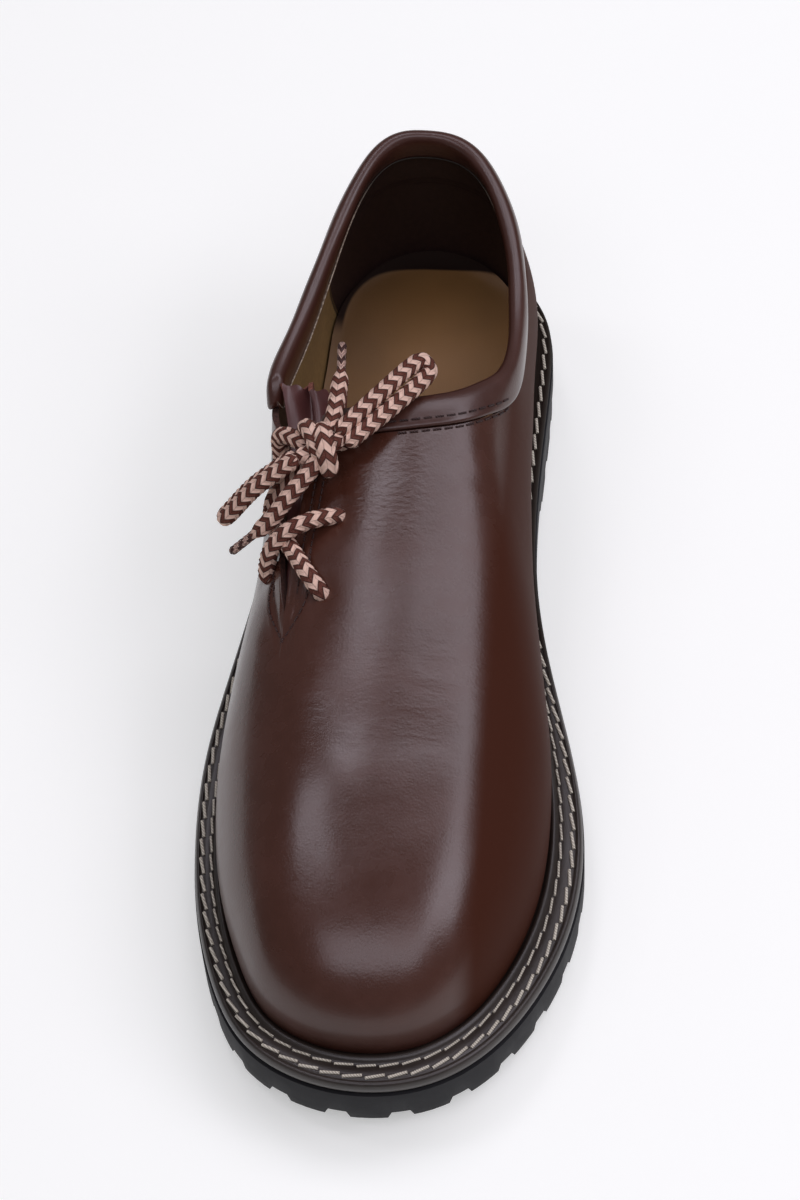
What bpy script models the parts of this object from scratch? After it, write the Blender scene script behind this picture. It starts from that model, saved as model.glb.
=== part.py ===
"""A haferl shoe for the right foot, side laced, on a lugged rubber sole.

The toe points to -Y, the inner side of the foot is +X and the floor is z = 0.
Sizes are in millimetres and MM turns them into metres when a mesh is made.
"""
import math
from typing import NamedTuple

import bpy
import numpy as np
from mathutils import Vector
from mathutils.bvhtree import BVHTree

MM = 0.001
SHARP_ANGLE = math.radians(40)

# Driving sizes of the sole
SOLE_LENGTH = 298.0
BALL_WIDTH = 112.6
END_SHIFT = -2.5
RUBBER = 12.7
PLATE = 9.8
TOE_SPRING = 9.4
SPRING_START = -66.0
SPRING_POWER = 1.8
HEEL_RISE = 10.8
RISE_FROM = -22.0
RISE_TO = 60.0
GAP = 0.3

# Tread
LUG_LENGTH = 10.4
NOTCH_LENGTH = 6.2
TREAD_END = 14.0
TREAD_RINGS = (13.0, 18.0, 30.0, 35.0)
HEEL_BREAST = 66.0
HEEL_LUG_DEPTH = 3.4
HEEL_RINGS = (11.0, 15.0, 24.0)
HEEL_PLAY = 0.5
AXIS_HEEL = (-2.0, 108.0)
AXIS_TOE = (-1.0, -98.0)
HEEL_CENTRE = (-2.0, 106.0)

# Welt
WELT = 5.0
WELT_INSET = 0.7
WELT_REACH = 18.0
WELT_ROUND = 0.4
WELT_BEVEL = 0.7
BEAD_WIDTH = 3.0
BEAD_HEIGHT = 1.5
BEAD_CREST = 0.6
BEAD_GAP = 0.4
BEAD_ROOM = 1.6
BEAD_LEAST = 0.35
PLATEAU_INSET = 21.5

# Upper, collar band, insole and tongue
WALL = 2.0
RIB_COLUMNS = 76
RIB_ROWS = 14
SEARCH_COLUMNS = 160
SEARCH_ROWS = 48
BAND_HEIGHT = 10.4
BAND_THICK = 5.4
BAND_COLUMNS = 68
BAND_SIDES = 10
BAND_SQUARE = 0.75
INSOLE = 4.0
INSOLE_PLAY = 2.6
TONGUE_THICK = 1.4
TONGUE_COLUMNS = 17
TONGUE_ROWS = 11
TONGUE_PLAY = 2.7
TONGUE_BAND_PLAY = 2.0
TONGUE_PLEATS = 2
TONGUE_DEEPEN = 1.5

# Lace
LACE = 4.6
LACE_LIFT = 0.6
LACE_CROSS = 2.6
LACE_REST = 0.8
LACE_SIDES = 8
LACE_BAR_POINTS = 9
ROUTE_STEPS = 24
LOOP_HALF = 2.6
HOLE = 5.4
HOLE_DEPTH = 12.0
AGLET = 2.6


class OutlineRow(NamedTuple):
    """Edge of the sole at one place along it."""

    along: float    # share of the length, from the toe tip
    medial: float   # share of the ball width, to the inner side
    lateral: float  # share of the ball width, to the outer side


OUTLINE = (
    OutlineRow(0.014, 0.161, 0.184),
    OutlineRow(0.049, 0.284, 0.313),
    OutlineRow(0.112, 0.395, 0.409),
    OutlineRow(0.192, 0.471, 0.473),
    OutlineRow(0.279, 0.495, 0.505),
    OutlineRow(0.366, 0.467, 0.507),
    OutlineRow(0.470, 0.396, 0.471),
    OutlineRow(0.577, 0.330, 0.418),
    OutlineRow(0.698, 0.314, 0.376),
    OutlineRow(0.831, 0.324, 0.353),
    OutlineRow(0.906, 0.307, 0.337),
    OutlineRow(0.963, 0.214, 0.250),
)


class Rib(NamedTuple):
    """One line of the upper, from the welt to the top of the collar."""

    station: float  # 0 at the heel, about 1 at the toe tip, 2 at the heel again
    margin: float   # welt that shows outside the upper
    top_x: float    # top of the collar
    top_y: float
    top_z: float
    wall: float     # height of the lower handle
    bulge: float    # how far the lower handle leans out
    reach: float    # share of the way back to the welt at the upper handle
    drop: float     # how far the upper handle lies below the collar


RIBS = (
    Rib(0.00, 5.0, -2.5, 139.8, 94.3, 22.0, 5.0, 0.80, 24.0),
    Rib(0.10, 5.9, 12.4, 135.2, 92.3, 22.0, 5.0, 0.80, 24.0),
    Rib(0.20, 6.0, 25.0, 113.0, 86.5, 22.0, 4.6, 0.70, 24.0),
    Rib(0.30, 4.9, 29.6, 88.0, 81.0, 22.0, 6.2, 0.60, 22.0),
    Rib(0.42, 4.4, 28.8, 64.0, 81.0, 26.0, 6.8, 0.42, 22.0),
    Rib(0.54, 7.0, 21.5, 53.0, 84.2, 30.0, 5.0, 0.46, 18.0),
    Rib(0.66, 10.2, 14.5, 47.6, 86.3, 34.0, 5.0, 0.52, 20.0),
    Rib(0.76, 11.0, 9.5, 45.4, 87.0, 37.0, 5.0, 0.57, 23.0),
    Rib(0.86, 11.0, 5.0, 44.2, 87.2, 40.0, 5.0, 0.60, 25.0),
    Rib(1.00, 11.5, -1.0, 43.0, 87.0, 42.0, 5.0, 0.62, 27.0),
    Rib(1.14, 9.7, -7.0, 42.1, 86.3, 40.0, 5.0, 0.60, 25.0),
    Rib(1.24, 8.5, -12.0, 41.6, 85.2, 37.0, 5.0, 0.57, 23.0),
    Rib(1.34, 8.0, -19.0, 41.6, 83.0, 34.0, 4.6, 0.52, 20.0),
    Rib(1.46, 8.2, -30.0, 44.5, 79.5, 30.0, 2.6, 0.46, 18.0),
    Rib(1.58, 6.2, -41.5, 55.0, 77.5, 26.0, 3.2, 0.42, 20.0),
    Rib(1.70, 5.2, -37.6, 77.0, 78.0, 22.0, 4.4, 0.60, 22.0),
    Rib(1.80, 5.5, -29.4, 105.2, 83.8, 22.0, 4.8, 0.70, 24.0),
    Rib(1.90, 5.8, -17.0, 133.8, 92.2, 22.0, 5.0, 0.80, 24.0),
)


class SlitRow(NamedTuple):
    """Width of the side slit at one place along it."""

    y: float
    lateral_x: float
    vamp_x: float
    floor_z: float  # underside of the cut


SLIT = (
    SlitRow(-18.0, -31.6, -30.6, 50.0),
    SlitRow(0.0, -34.2, -30.2, 52.0),
    SlitRow(20.0, -37.0, -28.4, 56.0),
    SlitRow(40.0, -39.4, -25.6, 63.0),
    SlitRow(50.0, -40.4, -24.0, 66.0),
    SlitRow(66.0, -33.0, -21.0, 68.0),
)
ABOVE = 120.0  # a height over the whole shoe
BAND_FROM = 1.575
BAND_TO = 1.410


class TongueEdge(NamedTuple):
    """One end of the bellows tongue on the skin."""

    lateral: float  # station of its outer edge
    vamp: float     # station of its inner edge
    height: float   # share of the rib's height
    pleat: float    # depth of its folds


TONGUE_FOOT = TongueEdge(1.41, 1.24, 0.63, 0.6)
TONGUE_TOP = TongueEdge(1.60, 1.385, 1.02, 7.5)


class HolePair(NamedTuple):
    """Two lace holes that face each other across the slit."""

    vamp_x: float
    vamp_y: float
    lateral_x: float
    lateral_y: float


HOLES = (
    HolePair(-20.9, -16.0, -38.5, -3.0),
    HolePair(-18.2, 7.5, -39.3, 17.0),
    HolePair(-15.0, 31.0, -40.8, 35.0),
)

# Bow: centre and half sizes of the knot, and the routes that leave it
KNOT = ((-23.5, 22.0, 87.1), (6.5, 6.0, 4.6))
LOOPS = {
    "lace_loop_front": ((-19.4, 26.4, 88.7), (-8.0, 38.5, 92.0), (4.6, 51.0, 92.4)),
    "lace_loop_side": ((-29.6, 18.7, 86.1), (-42.0, 15.0, 76.5), (-52.2, 12.8, 64.6)),
}
ENDS = {
    "lace_end_back": ((-25.7, 28.2, 88.9), (-24.6, 38.0, 90.6), (-23.2, 47.0, 91.0)),
    "lace_end_side": ((-24.2, 15.7, 85.2), (-28.5, 8.5, 80.9), (-35.5, 5.5, 75.5), (-41.0, 4.5, 71.0)),
}
AGLETS = {
    "aglet_back": ((-23.1, 47.4, 91.0), (-22.3, 52.8, 91.2), (-21.5, 58.0, 91.4)),
    "aglet_side": ((-41.4, 4.4, 70.7), (-45.6, 3.6, 67.4), (-50.0, 2.8, 64.0)),
}


class Finish(NamedTuple):
    """Plain finish of one piece."""

    colour: tuple
    roughness: float


FINISHES = {
    "outsole": Finish((0.012, 0.012, 0.013), 0.62),
    "heel": Finish((0.012, 0.012, 0.013), 0.62),
    "welt": Finish((0.040, 0.020, 0.016), 0.48),
    "upper": Finish((0.062, 0.024, 0.019), 0.30),
    "collar_band": Finish((0.060, 0.024, 0.020), 0.32),
    "tongue": Finish((0.110, 0.036, 0.028), 0.45),
    "insole": Finish((0.250, 0.150, 0.070), 0.55),
    "lace": Finish((0.300, 0.170, 0.130), 0.80),
    "aglet": Finish((0.070, 0.035, 0.030), 0.50),
}


def closed_spline(knots, values, period, places):
    """Smooth closed curve through values at knots, read at the given places."""
    count = len(knots)
    steps = np.diff(np.append(knots, knots[0] + period))
    slopes = (np.roll(values, -1, axis=0) - values) / steps[:, None]
    matrix = np.zeros((count, count))
    for row in range(count):
        matrix[row, row - 1] += steps[row - 1]
        matrix[row, row] += 2 * (steps[row - 1] + steps[row])
        matrix[row, (row + 1) % count] += steps[row]
    bends = np.linalg.solve(matrix, 6 * (slopes - np.roll(slopes, 1, axis=0)))
    wrapped = (np.asarray(places) - knots[0]) % period + knots[0]
    row = np.searchsorted(knots, wrapped, side="right") - 1
    after = (row + 1) % count
    step = steps[row][:, None]
    right = (wrapped - knots[row])[:, None]
    left = step - right
    cubic = (bends[row] * left ** 3 + bends[after] * right ** 3) / (6 * step)
    start = (values[row] / step - bends[row] * step / 6) * left
    end = (values[after] / step - bends[after] * step / 6) * right
    return cubic + start + end


def smooth_step(share):
    """Ease from 0 to 1 as the share goes from 0 to 1."""
    share = np.clip(share, 0.0, 1.0)
    return share * share * (3 - 2 * share)


class Outline:
    """The edge of the sole, read by station along its length."""

    SAMPLES = 2400

    def __init__(self):
        half = SOLE_LENGTH / 2
        medial = [(row.medial * BALL_WIDTH, row.along * SOLE_LENGTH - half) for row in OUTLINE]
        lateral = [(-row.lateral * BALL_WIDTH, row.along * SOLE_LENGTH - half) for row in OUTLINE]
        points = np.array([(END_SHIFT, half), *medial[::-1], (END_SHIFT, -half), *lateral])
        chords = np.linalg.norm(np.roll(points, -1, axis=0) - points, axis=1)
        knots = np.concatenate([[0.0], np.cumsum(chords)[:-1]])
        places = np.linspace(0.0, chords.sum(), self.SAMPLES + 1)
        self.points = closed_spline(knots, points, chords.sum(), places)
        self.points[:, 0] -= (self.points[:, 0].max() + self.points[:, 0].min()) / 2
        lengths = np.linalg.norm(np.diff(self.points, axis=0), axis=1)
        walked = np.concatenate([[0.0], np.cumsum(lengths)])
        self.length = walked[-1]
        self.stations = 2 * walked / walked[-1]
        self.toe = int(np.argmin(self.points[:, 1]))

    def at(self, stations):
        """Plan points on the edge."""
        wrapped = np.asarray(stations) % 2.0
        columns = [np.interp(wrapped, self.stations, self.points[:, axis]) for axis in (0, 1)]
        return np.stack(columns, axis=-1)

    def outward(self, stations):
        """Unit plan normals of the edge, pointing away from the shoe."""
        step = 0.004
        along = self.at(np.asarray(stations) + step) - self.at(np.asarray(stations) - step)
        normals = np.stack([-along[:, 1], along[:, 0]], axis=-1)
        return normals / np.linalg.norm(normals, axis=1)[:, None]

    def inset(self, stations, depth):
        """Plan points inside the edge by a depth."""
        depth = np.broadcast_to(depth, np.shape(stations))
        return self.at(stations) - self.outward(stations) * depth[:, None]

    def station_at_y(self, y, medial):
        """Station where one side of the edge crosses y."""
        if medial:
            return float(np.interp(-y, -self.points[: self.toe + 1, 1], self.stations[: self.toe + 1]))
        return float(np.interp(y, self.points[self.toe:, 1], self.stations[self.toe:]))

    def station_at_angle(self, centre, angle):
        """Station that lies in one plan direction from a centre, counted from +Y towards +X."""
        turn = np.unwrap(np.arctan2(self.points[:, 0] - centre[0], self.points[:, 1] - centre[1]))
        return float(np.interp(angle, turn - turn[0], self.stations))


EDGE = Outline()
RIB_STATIONS = np.array([rib.station for rib in RIBS])
RIB_VALUES = np.array([rib[1:] for rib in RIBS])


def toe_spring(y):
    """Lift of the tread above the floor towards the toe."""
    share = np.clip((SPRING_START - np.asarray(y)) / (SPRING_START + SOLE_LENGTH / 2), 0.0, 1.0)
    return TOE_SPRING * share ** SPRING_POWER


def rubber_top(y):
    """Top of the rubber sole."""
    rise = HEEL_RISE * smooth_step((np.asarray(y) - RISE_FROM) / (RISE_TO - RISE_FROM))
    return RUBBER + toe_spring(y) + rise


def rubber_base(y):
    """Underside of the rubber sole between its lugs."""
    return rubber_top(y) - PLATE


def tread(y):
    """Underside of the lugs."""
    return rubber_top(y) - RUBBER


def welt_top(y):
    """Upper face of the welt."""
    return rubber_top(y) + GAP + WELT


def rib_values(stations):
    """Rib columns between the table's rows."""
    return closed_spline(RIB_STATIONS, RIB_VALUES, 2.0, stations)


def skin(stations, heights):
    """Outer surface of the upper: one rib for each station, a point for each share of its height.

    Heights are a row for each station, 0 at the welt and 1 at the top of the collar.
    """
    values = rib_values(stations)
    outward = EDGE.outward(stations)
    foot = EDGE.inset(stations, values[:, 0])
    foot_z = welt_top(foot[:, 1]) + GAP
    start = np.column_stack([foot, foot_z])
    top = values[:, 1:4]
    lower = start + np.column_stack([outward * values[:, 5:6], values[:, 4]])
    upper = top + np.column_stack([(foot - top[:, :2]) * values[:, 6:7], -values[:, 7]])
    t = np.asarray(heights)[..., None]
    corners = [point[:, None, :] for point in (start, lower, upper, top)]
    weights = ((1 - t) ** 3, 3 * t * (1 - t) ** 2, 3 * t * t * (1 - t), t ** 3)
    return sum(weight * corner for weight, corner in zip(weights, corners))


def skin_normals(stations, heights):
    """Outward unit normals of the skin."""
    step = 0.003
    heights = np.asarray(heights)
    around = skin(stations + step, heights) - skin(stations - step, heights)
    up = skin(stations, heights + step) - skin(stations, heights - step)
    normals = np.cross(up, around)
    return normals / np.linalg.norm(normals, axis=2)[..., None]


def height_below_top(stations, distance):
    """Share of each rib's height that lies a distance along the skin below the collar's top."""
    shares = np.linspace(0.0, 1.0, 161)
    points = skin(stations, np.tile(shares, (len(stations), 1)))
    lengths = np.linalg.norm(np.diff(points[:, ::-1], axis=1), axis=2)
    walked = np.concatenate([np.zeros((len(stations), 1)), np.cumsum(lengths, axis=1)], axis=1)
    return np.array([np.interp(distance, row, shares[::-1]) for row in walked])


def add_solid(name, points, faces, finish):
    """Make one object from points in millimetres."""
    mesh = bpy.data.meshes.new(name)
    mesh.from_pydata([tuple(np.asarray(point) * MM) for point in points], [], faces)
    mesh.validate()
    solid = bpy.data.objects.new(name, mesh)
    bpy.context.scene.collection.objects.link(solid)
    if finish is not None:
        mesh.materials.append(finish)
        mesh.shade_smooth()
        mesh.set_sharp_from_angle(angle=SHARP_ANGLE)
    return solid


def add_finishes():
    """One principled material for each finish."""
    finishes = {}
    for name, finish in FINISHES.items():
        material = bpy.data.materials.new(name)
        material.use_nodes = True
        shader = material.node_tree.nodes["Principled BSDF"]
        shader.inputs["Base Color"].default_value = (*finish.colour, 1.0)
        shader.inputs["Roughness"].default_value = finish.roughness
        finishes[name] = material
    return finishes


def cut(solid, cutter):
    """Take a hidden cutter out of a solid."""
    cutter.hide_render = True
    cutter.display_type = "WIRE"
    modifier = solid.modifiers.new("Cut " + cutter.name, "BOOLEAN")
    modifier.operation = "DIFFERENCE"
    modifier.object = cutter


class Column(NamedTuple):
    """One radial line of a sole, from its edge to its axis."""

    edge: tuple
    axis: tuple
    lug: bool  # the cell from this line to the next one carries a lug

    def inside(self, depth):
        """Plan point a depth in from the edge."""
        toward = np.subtract(self.axis, self.edge)
        return np.asarray(self.edge) + toward * (depth / np.linalg.norm(toward))


def lug_places(start, end, first_is_lug):
    """Places of lug and notch borders along a run, with what follows each."""
    pitch = LUG_LENGTH + NOTCH_LENGTH
    pairs = max(1, round((end - start) / pitch))
    scale = (end - start) / (pairs * pitch)
    places = []
    place = start
    is_lug = first_is_lug
    for _ in range(2 * pairs):
        places.append((place, is_lug))
        place += (LUG_LENGTH if is_lug else NOTCH_LENGTH) * scale
        is_lug = not is_lug
    return places


def axis_at(y):
    """Point of the sole's long axis."""
    share = (y - AXIS_TOE[1]) / (AXIS_HEEL[1] - AXIS_TOE[1])
    return (AXIS_TOE[0] + share * (AXIS_HEEL[0] - AXIS_TOE[0]), y)


def sole_lines():
    """Station, axis point and lug of each radial line of the sole, once round it."""
    heel_arc = EDGE.station_at_y(AXIS_HEEL[1], True) * EDGE.length / 2
    toe_arc = (1 - EDGE.station_at_y(AXIS_TOE[1], True)) * EDGE.length / 2
    heel_turns = [place / heel_arc * math.pi / 2 for place, _ in lug_places(0.0, heel_arc, True)]
    toe_turns = lug_places(0.0, 2 * toe_arc, True)
    straight = lug_places(AXIS_TOE[1], AXIS_HEEL[1], False)
    borders = [place for place, _ in straight] + [AXIS_HEEL[1]]
    treads = [lug and border < TREAD_END for (_, lug), border in zip(straight, borders[1:])]
    lines = []
    for turn in heel_turns:
        lines.append((EDGE.station_at_angle(AXIS_HEEL, turn), AXIS_HEEL, False))
    for border, lug in zip(borders[:0:-1], treads[::-1]):
        lines.append((EDGE.station_at_y(border, True), axis_at(border), lug))
    for place, lug in toe_turns:
        angle = math.pi / 2 * (1 + place / toe_arc)
        lines.append((EDGE.station_at_angle(AXIS_TOE, angle), AXIS_TOE, lug))
    for border, lug in zip(borders, treads):
        lines.append((EDGE.station_at_y(border, False), axis_at(border), lug))
    lines.append((EDGE.station_at_y(AXIS_HEEL[1], False), AXIS_HEEL, False))
    for turn in heel_turns[:0:-1]:
        lines.append((EDGE.station_at_angle(AXIS_HEEL, 2 * math.pi - turn), AXIS_HEEL, False))
    return lines


def sole_columns(inset):
    """Radial lines with their edge inside the sole's own by an inset, worked out for each station."""
    columns = []
    for station, axis, lug in sole_lines():
        edge = EDGE.inset(np.array([station]), inset(station))[0]
        columns.append(Column(tuple(edge), tuple(axis), lug))
    return columns


def heel_columns():
    """Radial lines of the heel block: round its back and across its breast."""
    medial = EDGE.station_at_y(HEEL_BREAST, True)
    lateral = EDGE.station_at_y(HEEL_BREAST, False)
    round_length = (medial + 2 - lateral) * EDGE.length / 2
    columns = []
    for place, lug in lug_places(0.0, round_length, True):
        station = lateral + place * 2 / EDGE.length
        edge = EDGE.inset(np.array([station]), HEEL_PLAY)[0]
        columns.append(Column(tuple(edge), HEEL_CENTRE, lug))
    last, first = EDGE.inset(np.array([medial, lateral]), HEEL_PLAY)
    breast = np.linalg.norm(first - last)
    for place, lug in lug_places(0.0, breast, True):
        edge = last + (first - last) * place / breast
        columns.append(Column(tuple(edge), HEEL_CENTRE, lug))
    return columns


class Slab:
    """A closed plate on radial lines, with separate lugs under it where it has any."""

    def __init__(self, columns, rings):
        self.columns = columns
        self.rings = (0.0, *rings)
        self.points = []
        self.faces = []
        self.index = {}

    def point(self, column, ring, level, height):
        """Index of the point on a radial line, made when it is first asked for."""
        line = self.columns[column % len(self.columns)]
        if ring == len(self.rings):
            plan = np.asarray(line.axis)
            key = (round(plan[0], 3), round(plan[1], 3), level)
        else:
            plan = line.inside(self.rings[ring])
            key = (column % len(self.columns), ring, level)
        if key not in self.index:
            self.index[key] = len(self.points)
            self.points.append((plan[0], plan[1], float(height(plan[1]))))
        return self.index[key]

    def face(self, *corners):
        """Add a face, dropping corners that fall together on the axis."""
        kept = [corner for place, corner in enumerate(corners) if corner != corners[place - 1]]
        if len(kept) > 2:
            self.faces.append(kept)

    def build_underside(self, low, base):
        """Lug faces, groove faces and the steps between them."""
        for column in range(len(self.columns)):
            for band in range(len(self.rings)):
                level, height = ("low", low) if self.is_lug(column, band) else ("base", base)
                near = self.point(column, band, level, height)
                near_next = self.point(column + 1, band, level, height)
                far_next = self.point(column + 1, band + 1, level, height)
                far = self.point(column, band + 1, level, height)
                self.face(near, near_next, far_next, far)
                if self.is_lug(column, band):
                    self.lug_walls(column, band, low, base)

    def is_lug(self, column, band):
        """Lugs stand in every second band, and across the axis only where it runs straight."""
        line = self.columns[column]
        if band == len(self.rings) - 1 and line.axis == self.columns[(column + 1) % len(self.columns)].axis:
            return False
        return line.lug and band % 2 == 0

    def lug_walls(self, column, band, low, base):
        """The steps round one lug, with none on the axis, where two lugs join."""
        corners = ((column, band), (column, band + 1), (column + 1, band + 1), (column + 1, band))
        for place, (start_column, start_ring) in enumerate(corners):
            end_column, end_ring = corners[(place + 1) % 4]
            if start_ring == end_ring == len(self.rings):
                continue
            self.face(
                self.point(start_column, start_ring, "low", low),
                self.point(end_column, end_ring, "low", low),
                self.point(end_column, end_ring, "base", base),
                self.point(start_column, start_ring, "base", base),
            )

    def build_top(self, base, top, raised_inset, raised):
        """Side wall and top face, raised inside an inset where there is one."""
        self.rings = (0.0, raised_inset) if raised_inset else (0.0,)
        for column in range(len(self.columns)):
            side = (
                self.point(column, 0, "base", base),
                self.point(column, 0, "top", top),
                self.point(column + 1, 0, "top", top),
                self.point(column + 1, 0, "base", base),
            )
            self.face(*side)
            rows = [(0, "top", top)]
            if raised_inset:
                rows.append((1, "top", top))
                rows.append((1, "raised", raised))
            rows.append((len(self.rings), rows[-1][1], rows[-1][2]))
            for near, far in zip(rows, rows[1:]):
                self.face(
                    self.point(column, *near),
                    self.point(column, *far),
                    self.point(column + 1, *far),
                    self.point(column + 1, *near),
                )


def add_outsole(finish):
    """Lugged rubber sole with a raised middle inside the welt."""
    sole = Slab(sole_columns(lambda station: 0.0), TREAD_RINGS)
    sole.build_underside(tread, rubber_base)
    sole.build_top(rubber_base, rubber_top, PLATEAU_INSET, welt_top)
    return add_solid("outsole", sole.points, sole.faces, finish)


def add_heel(finish):
    """Separate rubber heel block with its own lugs."""
    heel = Slab(heel_columns(), HEEL_RINGS)
    heel.build_underside(lambda y: 0.0, lambda y: HEEL_LUG_DEPTH)
    heel.build_top(lambda y: HEEL_LUG_DEPTH, lambda y: rubber_base(y) - GAP, 0.0, None)
    return add_solid("heel", heel.points, heel.faces, finish)


def add_insole(finish):
    """Leather insole that closes the foot of the upper."""
    columns = sole_columns(lambda station: rib_values([station])[0, 0] + INSOLE_PLAY)
    insole = Slab([column._replace(lug=False) for column in columns], ())
    insole.build_underside(None, lambda y: welt_top(y) + GAP)
    insole.build_top(lambda y: welt_top(y) + GAP, lambda y: welt_top(y) + GAP + INSOLE, 0.0, None)
    return add_solid("insole", insole.points, insole.faces, finish)


def ring_faces(count, sides, closed=True):
    """Quads of a sweep with a closed section, capped where the sweep is open."""
    faces = []
    for column in range(count if closed else count - 1):
        following = (column + 1) % count
        for side in range(sides):
            after = (side + 1) % sides
            faces.append((column * sides + side, following * sides + side,
                          following * sides + after, column * sides + after))
    if not closed:
        faces.append(tuple(range(sides)))
        faces.append(tuple(reversed(range((count - 1) * sides, count * sides))))
    return faces


def add_welt(finish):
    """Strip round the upper, with a rounded edge and a raised bead beside the upper."""
    stations = np.linspace(0.0, 2.0, RIB_COLUMNS, endpoint=False)
    margin = rib_values(stations)[:, 0]
    bead = np.clip((margin - BEAD_ROOM) / BEAD_WIDTH, BEAD_LEAST, 1.0)
    inner = margin - BEAD_GAP
    section = (
        (WELT_REACH, 0.0),
        (WELT_INSET + WELT_ROUND, 0.0),
        (WELT_INSET - WELT_ROUND, WELT / 2),
        (WELT_INSET + WELT_BEVEL, WELT),
        (inner - BEAD_WIDTH * bead, WELT),
        (inner - BEAD_WIDTH * BEAD_CREST * bead, WELT + BEAD_HEIGHT * bead),
        (inner, WELT),
        (WELT_REACH, WELT),
    )
    points = []
    for inset, height in section:
        plan = EDGE.inset(stations, inset)
        points.append(np.column_stack([plan, rubber_top(plan[:, 1]) + GAP + height]))
    sweep = np.stack(points[::-1], axis=1).reshape(-1, 3)
    return add_solid("welt", sweep, ring_faces(RIB_COLUMNS, len(section)), finish)


def tube_faces(columns, rows):
    """Quads of a sheet that closes on itself, of points kept column by column."""
    faces = []
    for column in range(columns):
        following = (column + 1) % columns
        for row in range(rows - 1):
            faces.append((column * rows + row, column * rows + row + 1,
                          following * rows + row + 1, following * rows + row))
    return faces


def add_upper(finish):
    """Hollow leather upper, open underneath, at the collar and at the side slit."""
    stations = np.linspace(0.0, 2.0, RIB_COLUMNS, endpoint=False)
    top = height_below_top(stations, BAND_HEIGHT + GAP)
    heights = np.linspace(0.0, 1.0, RIB_ROWS)[None, :] * top[:, None]
    points = skin(stations, heights).reshape(-1, 3)
    upper = add_solid("upper", points, tube_faces(RIB_COLUMNS, RIB_ROWS), finish)
    wall = upper.modifiers.new("Wall", "SOLIDIFY")
    wall.thickness = WALL * MM
    wall.offset = -1.0
    wall.use_even_offset = True
    cut(upper, add_slit_cutter())
    for number, (spot, direction) in enumerate(hole_spots()):
        cut(upper, add_hole_cutter("hole_{}".format(number), spot, direction))
    return upper


def add_slit_cutter():
    """Wedge between the two edges of the side slit."""
    points = []
    for row in SLIT:
        points.extend([(row.lateral_x, row.y, row.floor_z), (row.vamp_x, row.y, row.floor_z),
                       (row.vamp_x, row.y, ABOVE), (row.lateral_x, row.y, ABOVE)])
    return add_solid("slit", points, ring_faces(len(SLIT), 4, closed=False), None)


def skin_tree():
    """Search tree of the whole skin, for heights above a plan point."""
    stations = np.linspace(0.0, 2.0, SEARCH_COLUMNS, endpoint=False)
    heights = np.tile(np.linspace(0.0, 1.0, SEARCH_ROWS), (SEARCH_COLUMNS, 1))
    points = skin(stations, heights).reshape(-1, 3)
    return BVHTree.FromPolygons([Vector(point) for point in points], tube_faces(SEARCH_COLUMNS, SEARCH_ROWS))


SKIN_TREE = skin_tree()


def on_skin(x, y):
    """Point and outward normal of the skin above a plan point."""
    spot, normal, _, _ = SKIN_TREE.ray_cast(Vector((x, y, ABOVE)), Vector((0.0, 0.0, -1.0)))
    if normal.z < 0:
        normal.negate()
    return spot, normal


def hole_spots():
    """Centre and direction of each lace hole."""
    spots = []
    for pair in HOLES:
        spots.append(on_skin(pair.vamp_x, pair.vamp_y))
        spots.append(on_skin(pair.lateral_x, pair.lateral_y))
    return spots


def add_hole_cutter(name, spot, direction):
    """Round pin through the upper."""
    sides = 10
    across = direction.orthogonal().normalized()
    along = direction.cross(across)
    points = []
    for end in (0.5, -0.5):
        for side in range(sides):
            angle = 2 * math.pi * side / sides
            offset = (across * math.cos(angle) + along * math.sin(angle)) * HOLE / 2
            points.append(spot + direction * (end * HOLE_DEPTH) + offset)
    return add_solid(name, points, ring_faces(2, sides, closed=False), None)


def add_collar_band(finish):
    """Padded roll round the collar, from one edge of the slit to the other."""
    stations = np.linspace(BAND_FROM, BAND_TO + 2.0, BAND_COLUMNS)
    middle = height_below_top(stations, BAND_HEIGHT / 2)[:, None]
    centre = skin(stations, middle)[:, 0]
    normal = skin_normals(stations, middle)[:, 0]
    along = skin(stations, middle + 0.01)[:, 0] - centre
    along /= np.linalg.norm(along, axis=1)[:, None]
    centre = centre - normal * WALL / 2
    points = []
    for side in range(BAND_SIDES):
        angle = 2 * math.pi * side / BAND_SIDES
        up = math.copysign(abs(math.cos(angle)) ** BAND_SQUARE, math.cos(angle)) * BAND_HEIGHT / 2
        out = math.copysign(abs(math.sin(angle)) ** BAND_SQUARE, math.sin(angle)) * BAND_THICK / 2
        points.append(centre + along * up + normal * out)
    sweep = np.stack(points, axis=1).reshape(-1, 3)
    return add_solid("collar_band", sweep, ring_faces(len(stations), BAND_SIDES, closed=False), finish)


def sheet_faces(columns, rows):
    """Quads of an open sheet of points kept column by column."""
    faces = []
    for column in range(columns - 1):
        for row in range(rows - 1):
            corner = column * rows + row
            faces.append((corner, corner + 1, corner + rows + 1, corner + rows))
    return faces


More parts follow.
